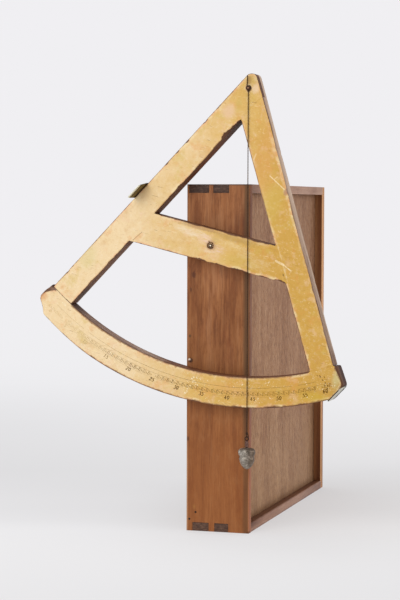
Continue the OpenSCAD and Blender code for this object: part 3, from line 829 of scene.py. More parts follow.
    # knot
    kn = m.vmath("LENGTH", m.vmath("MULTIPLY", m.vmath("SUBTRACT", v, (-25.5, -163, 258.0)), (1, 0, 0.7)), None, 1)
    kn = m.math("ADD", kn, m.math("MULTIPLY", m.math("SUBTRACT", m.noise(v, 0.5, 3), 0.5), 3.4))
    col = m.mix(m.rng(kn, 0.9, 3.4, 0.68, 0.0), col, srgb(78, 40, 27))
    for z0, dz in ((251, 4.0), (262, 3.0)):
        col = m.mix(m.math("MULTIPLY", m.segment(flat, (-31.5, -z0 - dz * 0.4), (-21.5, -z0 + dz * 0.5), 0.4, 1.5), 0.5), col, srgb(88, 50, 34))
    col = m.mix(near(m, v, (-28.5, -163, 243.0), 0.5, 1.6, 0.5, (1, 0, 0.5)), col, srgb(78, 46, 32))
    # light and dark streak below the top joint
    col = m.mix(m.math("MULTIPLY", m.segment(flat, (-8.3, -343), (-8.6, -322), 0.5, 1.6), 0.55), col, srgb(190, 152, 120))
    col = m.mix(m.math("MULTIPLY", m.segment(flat, (-9.0, -325), (-9.6, -311), 0.4, 1.2), 0.65), col, srgb(74, 46, 34))
    col = m.mix(m.math("MULTIPLY", m.segment(flat, (-12.5, -340), (-13.2, -328), 0.8, 2.2), 0.4), col, srgb(96, 62, 48))
    # pin prick, scratches above it, a spot low on the right
    col = m.mix(near(m, v, (-23.0, -163, 19.0), 0.8, 1.35, 0.97, (1, 0, 1)), col, srgb(18, 8, 4))
    col = m.mix(near(m, v, (-24.4, -163, 24.5), 0.3, 2.6, 0.3, (1, 0, 0.7)), col, srgb(186, 132, 66))
    # dark crescent to the stud's lower right: painted shadow with some dirt; and a spot above it
    col = m.mix(near(m, v, (-28.6, -163, 172.1), 1.5, 3.1, 0.85, (1, 0, 1)), col, srgb(58, 34, 22))
    col = m.mix(near(m, v, (-29.4, -163, 196.6), 0.5, 1.6, 0.7, (1, 0, 0.7)), col, srgb(70, 56, 34))
    for a, b in (((-25.6, -27.5), (-24.6, -24.0)), ((-24.9, -26.8), (-23.7, -23.6)), ((-26.4, -24.4), (-23.4, -23.0))):
        col = m.mix(m.math("MULTIPLY", m.segment(flat, a, b, 0.15, 0.5), 0.7), col, srgb(70, 38, 24))
    col = m.mix(near(m, v, (10.2, -163, 4.6), 0.7, 1.6, 0.85), col, srgb(48, 26, 18))
    col = m.mix(near(m, v, (-31.2, -163, 93.0), 0.6, 2.0, 0.6, (1, 0, 0.6)), col, srgb(66, 40, 28))
    r = m.rng(n1, 0.3, 0.7, 0.42, 0.62)
    return m.done(col, r, m.bump(h, 0.3, 0.0003))


def rim_mat(name, tones, rot, pores=0.3, inner=False):
    m = Mat(name, rough=0.55, spec=0.25)
    v = m.obj(rot)
    col, h, n1, _ = wood_nodes(m, v, tones, pores=pores)
    if inner:  # painted shade on the side that looks into the case, in the recess behind the front board's edge
        sep = m.node("ShaderNodeSeparateXYZ")
        m.put(sep.inputs[0], m.obj())
        painted_inner_shade = m.math("MULTIPLY", m.rng(sep.outputs[0], 31.7, 31.0), m.rng(sep.outputs[1], 155.6, 154.8))
        painted_inner_shade = m.math("MULTIPLY", painted_inner_shade, m.rng(sep.outputs[0], 23.0, 28.5, 0.25, 1.0))
        col = m.mix(m.math("MULTIPLY", painted_inner_shade, 0.8), col, m.mix(1.0, col, srgb(148, 116, 84), "MULTIPLY"))
        # painted light: the outer millimetre of that side is lighter, like the lit rim beside it
        wear_and_painted_light = m.math("MULTIPLY", m.rng(sep.outputs[0], 31.2, 31.8), m.rng(sep.outputs[1], 155.6, 154.8))
        col = m.mix(wear_and_painted_light, col, srgb(232, 178, 128))
    return m.done(col, m.rng(n1, 0.3, 0.7, 0.45, 0.65), m.bump(h, 0.35, 0.0003))


def end_grain_mat():
    """Top and bottom board: long grain along Y, and dark end grain on the tails' ends."""
    m = Mat("case_level_wood", rough=0.55, spec=0.3)
    v = m.obj(GRAIN_Y)
    tones = [srgb(112, 80, 64), srgb(146, 108, 88), srgb(168, 130, 108), srgb(192, 156, 132)]
    col, h, n1, _ = wood_nodes(m, v, tones, pores=0.3)
    raw = m.obj()
    sep = m.node("ShaderNodeSeparateXYZ")
    m.put(sep.inputs[0], raw)
    g = m.node("ShaderNodeNewGeometry")
    ns = m.node("ShaderNodeSeparateXYZ")
    nrm = m.node("ShaderNodeVectorTransform", vector_type="NORMAL", convert_from="WORLD", convert_to="OBJECT")
    m.put(nrm.inputs[0], g.outputs["Normal"])
    m.put(ns.inputs[0], nrm.outputs[0])
    facing = m.rng(m.math("ABSOLUTE", ns.outputs[1]), 0.45, 0.7)
    rings = m.noise(m.map(raw, (0.35, 1, 1.0)), 0.6, 4, 0.6)
    spots = m.noise(raw, 2.6, 3, 0.6)
    e = m.ramp(m.math("ADD", m.math("MULTIPLY", rings, 0.6), m.math("MULTIPLY", spots, 0.4)),
               [(0.36, srgb(56, 37, 28)), (0.5, srgb(90, 63, 48)), (0.64, srgb(122, 90, 70))])
    sepz = m.node("ShaderNodeSeparateXYZ")
    m.put(sepz.inputs[0], raw)
    e = m.mix(m.math("MULTIPLY", m.rng(sepz.outputs[2], 100, 250), 0.6), e, m.mix(1.0, e, srgb(190, 186, 190), "MULTIPLY"))
    col = m.mix(facing, col, e)
    # painted shade on the ledge below the recessed panel
    painted_ledge_shade = m.math("MULTIPLY", m.rng(sepz.outputs[2], 8.0, 8.5), m.rng(sepz.outputs[2], 12.0, 11.0))
    painted_ledge_shade = m.math("MULTIPLY", painted_ledge_shade, m.rng(sepz.outputs[0], 31.9, 30.2, 0.2, 1.0))
    col = m.mix(m.math("MULTIPLY", painted_ledge_shade, 0.95), col, m.mix(1.0, col, srgb(150, 112, 72), "MULTIPLY"))
    # dirt and small dents along the outer arris
    nick = m.noise(m.map(raw, (1, 0.5, 1)), 0.35, 4, 0.65)
    out = m.math("MULTIPLY", m.rng(sepz.outputs[2], 2.6, 0.6), m.rng(sepz.outputs[0], 31.0, 32.2))
    col = m.mix(m.math("MULTIPLY", out, m.rng(nick, 0.5, 0.62, 0.25, 0.85)), col, srgb(104, 78, 72))
    blot = m.rng(m.noise(m.map(raw, (1, 0.35, 1), loc=(9, 4, 2)), 0.1, 4, 0.6), 0.5, 0.64)
    col = m.mix(m.math("MULTIPLY", blot, 0.4), col, m.mix(1.0, col, srgb(206, 182, 176), "MULTIPLY"))
    foot = m.math("MULTIPLY", m.rng(sepz.outputs[2], 10.0, 8.0), m.rng(sepz.outputs[0], 31.5, 32.2))
    fleck = m.rng(m.noise(m.map(raw, (1, 0.7, 1), loc=(4, 1, 7)), 0.5, 3, 0.6), 0.58, 0.66)
    col = m.mix(m.math("MULTIPLY", foot, m.math("ADD", 0.5, m.math("MULTIPLY", fleck, 0.5))), col, m.mix(1.0, col, srgb(218, 200, 196), "MULTIPLY"))
    return m.done(col, m.rng(n1, 0.3, 0.7, 0.45, 0.65), m.bump(h, 0.35, 0.0003))


def panel_mat(name="panel_wood", tones=None):
    m = Mat(name, rough=0.62, spec=0.2)
    v = m.obj(GRAIN_Z)
    tones = tones or [srgb(112, 75, 46), srgb(145, 104, 72), srgb(166, 126, 91), srgb(196, 160, 124)]
    col, h, n1, n3 = wood_nodes(m, v, tones, big=0.03, mid=0.22, fine=1.3, weights=(0.30, 0.22, 0.48), pores=0.75, pore=(1.3, 0.14, 0.57, 0.67), wander=26.0, run=0.12)
    # short light flecks, dark ticks, and cooler wood towards the top
    fl = m.rng(m.noise(m.map(v, (1, 1, 0.22)), 0.8, 3, 0.65), 0.62, 0.70)
    col = m.mix(m.math("MULTIPLY", fl, 0.5), col, srgb(204, 174, 148))
    # short wavy figure of the grain
    wave = m.noise(m.map(v, (1, 1, 0.38), loc=(2, 5, 9)), 0.42, 4, 0.65)
    col = m.mix(m.rng(wave, 0.52, 0.64, 0.0, 0.42), col, m.mix(1.0, col, srgb(206, 186, 172), "MULTIPLY"))
    col = m.mix(m.rng(wave, 0.47, 0.36, 0.0, 0.36), col, srgb(186, 150, 118))
    tick = m.rng(m.noise(m.map(v, (1, 1, 0.30), loc=(5, 9, 2)), 0.7, 2, 0.6), 0.70, 0.76)
    col = m.mix(m.math("MULTIPLY", tick, 0.6), col, srgb(86, 58, 44))
    sep = m.node("ShaderNodeSeparateXYZ")
    m.put(sep.inputs[0], v)
    mott = m.noise(m.map(v, (1, 1, 0.6)), 0.018, 3, 0.6)
    up = m.math("ADD", sep.outputs[2], m.math("MULTIPLY", m.math("SUBTRACT", mott, 0.5), 260.0))
    col = m.mix(m.math("MULTIPLY", m.rng(up, 120, 330), 0.6), col, m.mix(1.0, col, srgb(246, 243, 255), "MULTIPLY"))
    col = m.mix(m.math("MULTIPLY", m.rng(mott, 0.55, 0.68), 0.3), col, m.mix(1.0, col, srgb(212, 192, 182), "MULTIPLY"))
    # half-way up it is a little darker, at the foot a little paler
    half = m.math("MULTIPLY", m.rng(up, 60, 150), m.rng(up, 300, 220))
    col = m.mix(m.math("MULTIPLY", half, 0.5), col, m.mix(1.0, col, srgb(249, 241, 243), "MULTIPLY"))
    col = m.mix(m.rng(sep.outputs[2], 110, 40, 0.0, 0.12), col, srgb(206, 170, 132))
    # painted shade, with some dirt, gathered in the far corner and along the bottom groove
    raw = m.node("ShaderNodeSeparateXYZ")
    m.put(raw.inputs[0], m.obj())
    far = m.math("MULTIPLY", m.rng(raw.outputs[1], 118, 155), m.rng(raw.outputs[2], 330, 120, 0.6, 1.0))
    low = m.rng(m.math("ADD", raw.outputs[2], m.math("MULTIPLY", m.math("SUBTRACT", mott, 0.5), 8.0)), 17, 9)
    col = m.mix(m.math("MAXIMUM", m.math("MULTIPLY", far, 0.75), m.math("MULTIPLY", low, 0.6)), col, m.mix(1.0, col, srgb(188, 176, 164), "MULTIPLY"))
    return m.done(col, m.rng(n1, 0.3, 0.7, 0.5, 0.72), m.bump(h, 0.5, 0.0004))


def dress(node, mat, bevel=0.5, seg=3, angle=35, slot=None):
    """Keeps a CAD node: rounds its edges and gives it a finish."""
    o = NODES[node]
    o.data.materials.clear()
    o.data.materials.append(mat)
    w = o.modifiers.new("weld", "WELD")
    w.merge_threshold = 1e-6
    if bevel:
        b = o.modifiers.new("round", "BEVEL")
        b.width = bevel * MM
        b.segments = seg
        b.limit_method = "ANGLE"
        b.angle_limit = math.radians(angle)
        b.harden_normals = False
        b.use_clamp_overlap = True
    for p in o.data.polygons:
        p.use_smooth = True
    o.data.set_sharp_from_angle(angle=math.radians(35))
    return o


M_FRONT = case_front_mat()
M_LEVEL = end_grain_mat()
M_REAR = rim_mat("case_rear_wood", [srgb(132, 84, 50), srgb(166, 112, 70), srgb(188, 134, 88), srgb(208, 158, 112)], GRAIN_Z, inner=True)
M_PANEL = panel_mat()
M_LID = panel_mat("lid_wood", [srgb(96, 66, 50), srgb(126, 90, 68), srgb(150, 110, 84), srgb(176, 136, 106)])
dress("case_front_board", M_FRONT, 0.8)
dress("case_rear_board", M_REAR, 0.55)
dress("case_top_board", M_LEVEL, 0.4)
dress("case_bottom_board", M_LEVEL, 0.4)
dress("case_panel", M_PANEL, 0.3)
dress("lid", M_LID, 0.6)


# ---------------------------------------------------------------- frame wood
def frame_wood(name, shift, dark=(), cast=None, ends=False, tint=None):
    """dark lists (point, r0, r1, strength) in the piece's own grain coordinates, for dark spots and painted shade in
    inner corners; cast tints stretches of the piece darker as painted shade.
    """
    m = Mat(name, rough=0.6, spec=0.25)
    loc = m.attr("loc")
    v = m.map(loc, loc=shift)
    tones = [srgb(122, 96, 76), srgb(162, 134, 114), srgb(190, 164, 142), srgb(214, 190, 170)]
    col, h, n1, n3 = wood_nodes(m, v, tones, big=0.06, mid=0.2, fine=0.9, pores=0.4)
    stain = m.rng(m.noise(v, 0.06, 4, 0.6), 0.57, 0.72)
    col = m.mix(m.math("MULTIPLY", stain, 0.45), col, srgb(104, 72, 54))
    sep = m.node("ShaderNodeSeparateXYZ")
    m.put(sep.inputs[0], loc)
    if cast:
        wob = m.math("ADD", sep.outputs[2], m.math("MULTIPLY", m.math("SUBTRACT", m.noise(v, 0.03, 3, 0.6), 0.5), 60.0))
        for lo, hi, tint in cast:
            col = m.mix(m.rng(wob, lo, hi), col, m.mix(1.0, col, srgb(*tint), "MULTIPLY"))
    if tint:
        col = m.mix(1.0, col, srgb(*tint), "MULTIPLY")
    # dark line along the front arris: painted shade of the gap under the sheet's edge, with old glue and dirt; the side
    # a little darker towards the front
    fine = m.noise(loc, 0.5, 3, 0.6)
    front = m.math("ADD", sep.outputs[1], m.math("MULTIPLY", m.math("SUBTRACT", fine, 0.5), 2.0))
    along = m.rng(m.noise(loc, 0.05, 3, 0.6), 0.40, 0.58, 0.35, 1.0)
    if ends:
        along = m.math("MULTIPLY", along, m.math("MAXIMUM", m.rng(sep.outputs[2], 66, 40, 0.25, 1.0), m.rng(sep.outputs[2], 168, 196, 0.25, 1.0)))
        col = m.mix(m.rng(sep.outputs[2], 262, 276, 0.0, 0.7), col, m.mix(1.0, col, srgb(190, 170, 166), "MULTIPLY"))
    col = m.mix(m.math("MULTIPLY", m.rng(front, Y_WOOD + 3.4, Y_WOOD + 1.4, 0.0, 0.9), along), col, srgb(84, 48, 26))
    col = m.mix(m.math("MULTIPLY", m.rng(front, Y_WOOD + 8.5, Y_WOOD + 4.0), 0.25), col, srgb(134, 100, 76))
    for c, r0, r1, k in dark:
        col = m.mix(near(m, loc, c, r0, r1, k), col, srgb(62, 34, 18))
    return m.done(col, m.rng(n1, 0.3, 0.7, 0.5, 0.72), m.bump(h, 0.45, 0.0004))


WOOD_RINGS = [(Y_WOOD, 0.35), (Y_WOOD + 0.12, 0.12), (Y_WOOD + 0.45, 0.0), (Y_WOOD + 4, -0.02), (Y_MID, 0.03), (Y_BACK - 4, 0.0),
              (Y_BACK - 0.7, 0.0), (Y_BACK - 0.2, 0.1), (Y_BACK, 0.35)]


def limb_outline(side, inset=0.0):
    """Outline of one limb over its full width at the apex, counter-clockwise."""
    out, other = (LEFT_OUT, RIGHT_OUT) if side < 0 else (RIGHT_OUT, LEFT_OUT)
    out, other, inn, rr = out - inset, other - inset, LIMB_IN - inset, R_IN
    r = DISC[2] - inset
    a_l, a_r = math.atan2(S30, -C30), math.atan2(S30, C30)
    # where this limb's inner edge meets the other limb's outer edge
    z = (-inn + other) / (2 * S30)
    x = side * (other + inn) / (2 * C30) * -1
    u_out, u_in = math.sqrt(rr * rr - out * out), math.sqrt(rr * rr - inn * inn)
    p_out, p_in = limb(side, u_out, out), limb(side, u_in, -inn)
    a0, a1 = math.atan2(p_out[1], p_out[0]), math.atan2(p_in[1], p_in[0])
    end = arc_pts(0, 0, rr, a0, a1, 0.8)
    disc = arc_pts(DISC[0], DISC[1], r, a_r, a_l, 0.5)
    if side < 0:   # down the left outer edge, along the arc, up the inner edge, over the apex
        return disc + end + [(x, z)]
    return disc + [(x, z)] + end[::-1]


def limb_loc(side):
    def fn(co):
        x, z = co[:, 0] - APX, co[:, 2] - APZ
        lx, lz = x * CT - z * ST, x * ST + z * CT
        if side < 0:
            u, v = -lx * S30 - lz * C30, -lx * C30 + lz * S30
        else:
            u, v = lx * S30 - lz * C30, lx * C30 + lz * S30
        return np.stack([v, co[:, 1], u], 1)
    return fn


def chord_loc(co):
    x, z = co[:, 0] - APX, co[:, 2] - APZ
    return np.stack([x * ST + z * CT, co[:, 1], x * CT - z * ST], 1)


def dent_outline(l, seed, amp=0.12, chips=()):
    """Hand-made unevenness of an outline, inwards only."""
    n = inward(l) if area(l) > 0 else -inward(l)
    d = np.array([amp * 0.5 * (1 + nz(p[0] * 0.11 + seed, p[1] * 0.11)) + amp * 0.5 * max(0, nz(p[0] * 0.5, p[1] * 0.5, seed)) for p in l])
    for (cx, cz, rad, dep) in chips:
        q = np.hypot(l[:, 0] - cx, l[:, 1] - cz)
        d += dep * np.clip(1 - q / rad, 0, 1) ** 1.3
    return l + n * d[:, None]


def slab_box(side, u0, u1, v0, v1, y0, y1):
    def fn(c):
        p = np.array([limb(side, a[0], a[1]) for a in c])
        return frame_place(np.stack([p[:, 0], p[:, 1], c[:, 2]], 1))
    return box_mesh(fn, (u0, v0, y0), (u1, v1, y1))


def flat_prism(pts, y0, y1):
    l = np.array(pts, float)
    v, f = solid([l], [(y0, 0.0), (y1, 0.0)])
    return raw_object("cut", frame_place(v), f)


def circle_loop(cx, cz, r, n=40):
    return np.array([(cx + r * math.cos(2 * math.pi * i / n), cz + r * math.sin(2 * math.pi * i / n)) for i in range(n)])


def bar_shape(inset, half, grow=0.0):
    x = lambda z: (LIMB_IN - inset + S30 * z) / C30
    t, b = -PIVOT_R + half, -PIVOT_R - half
    return [(x(b), b), (-x(b), b), (-x(t), t), (x(t), t)]


def notch_box():
    def fn(c):
        a = NOTCH
        x = DISC[0] + c[:, 0] * math.cos(a) - c[:, 1] * math.sin(a)
        z = DISC[1] + c[:, 0] * math.sin(a) + c[:, 1] * math.cos(a)
        return frame_place(np.stack([x, z, c[:, 2]], 1))
    return box_mesh(fn, (-0.6, DISC[2] - 0.9, Y_WOOD - 1), (0.6, DISC[2] + 3, Y_BACK + 1))


def build_limbs():
    for side, name in ((-1, "left_limb"), (1, "right_limb")):
        l = closed_dense(limb_outline(side), 0.9)
        l = relax(l, 2)
        chips = [(*limb(side, 53.6, LEFT_OUT), 3.0, 0.5), (*limb(side, 261, LEFT_OUT), 3, 0.5)] if side < 0 else \
                [(*limb(side, 70, RIGHT_OUT), 3, 0.4), (*limb(side, 200, RIGHT_OUT), 4, 0.3)]
        l = dent_outline(l, 3.1 * side, 0.14, chips)
        v, f = solid([l], WOOD_RINGS)
        # soft waviness of the planed sides
        w = frame_place(v)
        ob = raw_object(name + "_wood", w, f)
        cut = []
        if side < 0:
            far = slab_box(1, -60, 400, -LIMB_IN, 60, Y_MID, Y_BACK + 2)
        else:
            far = slab_box(-1, -60, 400, -LIMB_IN, 60, Y_WOOD - 2, Y_MID)
        cut.append((far, "DIFFERENCE"))
        cut.append((slab_box(side, R_IN - 15, R_IN + 16.9, -11, 5, Y_MID - 3, Y_MID + 3), "UNION"))
        cut.append((flat_prism(bar_shape(10.1, BAR_H - 4.9), Y_MID - 3.05, Y_MID + 3.05), "DIFFERENCE"))
        pin = flat_prism(circle_loop(0, 0, 1.52), Y_WOOD - 2, Y_BACK + 2)
        cut.append((pin, "DIFFERENCE"))
        cut.append((notch_box(), "DIFFERENCE"))
        boolean(ob, cut)
        # painted shade on the inner edge near the apex, above and below the crossbar's joints and near the arc; cast
        # paints the left limb's upper part darker as shade
        dark = [((-16, Y_MID, 34), 3, 30, 0.8), ((-16, Y_MID, 268), 2, 16, 0.7), ((-16, Y_MID, 160), 2, 10, 0.5), ((-16, Y_MID, 196), 2, 9, 0.4)]
        cast = [(150, 95, (188, 150, 126)), (60, 20, (200, 170, 150))] if side < 0 else None
        finish_piece(ob, frame_wood(name + "_grain", (0, 0, 40 * side), dark, cast, side > 0), "sextant", [name], "frame_wood", 38, {"loc": limb_loc(side)})


def build_bar():
    b = [np.array(p) for p in bar_shape(0, BAR_H)]
    l = closed_dense(b, 0.9)
    chips = [(-13, -175.5, 4, 0.5), (12, -175.5, 7, 0.6), (36, -175.5, 6, 0.6), (74, -175.5, 6, 0.9), (-30, -142.5, 5, 0.3)]
    l = dent_outline(l, 7.7, 0.12, chips)
    hole = circle_loop(0, -PIVOT_R, 3.4)
    v, f = solid([l, hole], WOOD_RINGS)
    ob = raw_object("crossbar_wood", frame_place(v), f)
    cut = [(flat_prism(bar_shape(10, BAR_H - 5), Y_MID - 3, Y_MID + 3), "UNION"),
           (flat_prism(circle_loop(0, -PIVOT_R, 3.6, 40), Y_WOOD + 1.4, Y_BACK - 0.2), "UNION"),
           (flat_prism(circle_loop(0, -PIVOT_R, 1.8, 40), Y_WOOD - 2, Y_BACK + 2), "DIFFERENCE")]
    boolean(ob, cut)
    finish_piece(ob, frame_wood("crossbar_grain", (12, 0, 90), tint=(186, 148, 118)), "sextant", ["crossbar"], "frame_wood", 38, {"loc": chord_loc})


def arc_outline(inset=0.0, paper=False):
    ri, ro, bev = R_IN + inset, R_OUT - inset, BEVEL - inset
    q = lambda u, n: (-u * S30 + n * C30, -u * C30 - n * S30)   # left limb: along u, inward n
    if paper:
        left = [limb(-1, math.sqrt(R_IN**2 - 4.6**2) + 0.25, 4.6), limb(-1, 285.4, 6.6), limb(-1, 288.7, 9.3), limb(-1, 293.2, 12.1), limb(-1, 297.5, 13.2),
                limb(-1, 300.3, 13.1), limb(-1, 303.3, 11.4), limb(-1, 308.7, 3.9)]
    else:
        left = [limb(-1, 283.2, 10.05), limb(-1, 281.7, 10.1), limb(-1, 281.9, 11.4), limb(-1, 283.0, 12.0), limb(-1, 286, 12.5), limb(-1, 292.5, 13.7), limb(-1, 299.5, 13.8),
                limb(-1, 303.6, 12), limb(-1, 309, 4.4)]
    end_l = limb(-1, math.sqrt((ro - 0.3) ** 2 - 1.5**2), -1.5)
    u_b = math.sqrt(ro * ro - bev * bev)
    end_r = q(u_b, bev)
    if paper:
        right = [q(150.2, bev - 0.1), limb(1, 306.2, 9.2), limb(1, 304.6, 10.9), limb(1, 301.5, 11.9), limb(1, 296, 11.4), limb(1, 290, 10.3),
                 limb(1, math.sqrt(R_IN**2 - 9.3**2) - 0.9, 9.3)]
        last_r, first_r = R_IN - 0.9, R_IN + 0.25
    else:
        right = [limb(1, (BEVEL - 13 / 2) / C30, 13.0), limb(1, 303, 13.2), limb(1, 286.0, 12.2), limb(1, 284.3, 12.0), limb(1, 284.0, 9.5), limb(1, math.sqrt(ri * ri - 9.4**2), 9.4)]
        last_r = first_r = ri
    outer = arc_pts(0, 0, ro, math.atan2(end_l[1], end_l[0]), math.atan2(end_r[1], end_r[0]), 0.9)
    last = right[-1]
    a0, a1 = math.atan2(last[1], last[0]), math.atan2(left[0][1], left[0][0])
    if paper:   # under the right limb's sheet the scale runs on a little
        _, _ = a0, a1
        edge = limb(1, math.sqrt(R_IN**2 - 15.7**2), -15.7)
        am = math.atan2(edge[1], edge[0])
        inner = arc_pts(0, 0, last_r, a0, am, 0.9) + arc_pts(0, 0, R_IN + 0.4, am - 0.002, math.radians(-90 - 26.8), 0.9)
        edge = limb(-1, math.sqrt(R_IN**2 - 15.7**2), -15.7)
        inner += arc_pts(0, 0, first_r, math.atan2(edge[1], edge[0]) - 0.001, a1, 0.9)
    else:
        inner = arc_pts(0, 0, ri, a0, a1, 0.9)
    return left + outer + right[:-1] + inner


def build_arc():
    l = relax(closed_dense(arc_outline(), 0.9), 2)
    l = dent_outline(l, 11.3, 0.12, [(*limb(-1, 288, 11), 3, 0.5), (*limb(1, 305, 12.3), 3, 0.4)])
    v, f = solid([l], WOOD_RINGS)
    ob = raw_object("arc_board_wood", frame_place(v), f)
    cut = [(slab_box(s, R_IN - 20, R_IN + 17, -11.05, 5.05, Y_MID - 3.05, Y_MID + 3.05), "DIFFERENCE") for s in (-1, 1)]
    boolean(ob, cut)
    # a dark spot on the bare front of the left end, and painted shade in the inner corner where the left limb meets the
    # arc; cast paints stretches of the arc darker as shade
    c = limb(-1, 283.0, 10.6)
    d = limb(-1, 284, -17)
    dark = [((c[1], Y_WOOD, c[0]), 0.8, 3.2, 0.95), ((d[1], Y_MID, d[0]), 2, 20, 0.75)]
    dark += [((0, Y_MID, 158), 12, 30, 0.5)]
    cast = [(-40, -10, (176, 132, 100)), (140, 152, (150, 130, 128)), (-20, -75, (255, 252, 255))]
    finish_piece(ob, frame_wood("arc_grain", (30, 0, 10), dark, cast), "sextant", ["arc_board"], "frame_wood", 38, {"loc": chord_loc})


build_limbs()
build_bar()
build_arc()


# ---------------------------------------------------------------- face sheets
def cockle(x, z):
    """Height of the glued sheet above its mean plane, in mm."""
    return 0.05 * nz(x * 0.055, z * 0.055, 1.7) + 0.025 * nz(x * 0.21, z * 0.21, 4.2)


def tone_at(co):
    """0 pale cream at the left, 1 golden at the right."""
    x, z = co[:, 0], co[:, 2]
    t = (x + 95) / 165 - (z - 250) / 1400
    return np.clip(t, 0, 1)


def flat_loc(co):
    x, z = co[:, 0] - APX, co[:, 2] - APZ
    return np.stack([x * CT - z * ST, x * ST + z * CT, co[:, 1]], 1)


# worn spots: flat x, z, size
SCRATCH = [((42.0, -77.9), (62.4, -88.9), 0.35, 0.75, 0.9), ((68.3, -156.8), (76.5, -158.6), 0.7, 1.5, 0.75), ((76.5, -158.6), (85.3, -162.4), 0.3, 0.9, 0.85),
           ((23.0, -60.5), (22.0, -66.5), 0.4, 1.0, 0.7), ((38.8, -42.5), (41.2, -41.6), 0.4, 1.1, 0.6), ((46.8, -80.2), (49.5, -77.0), 0.3, 0.8, 0.6)]


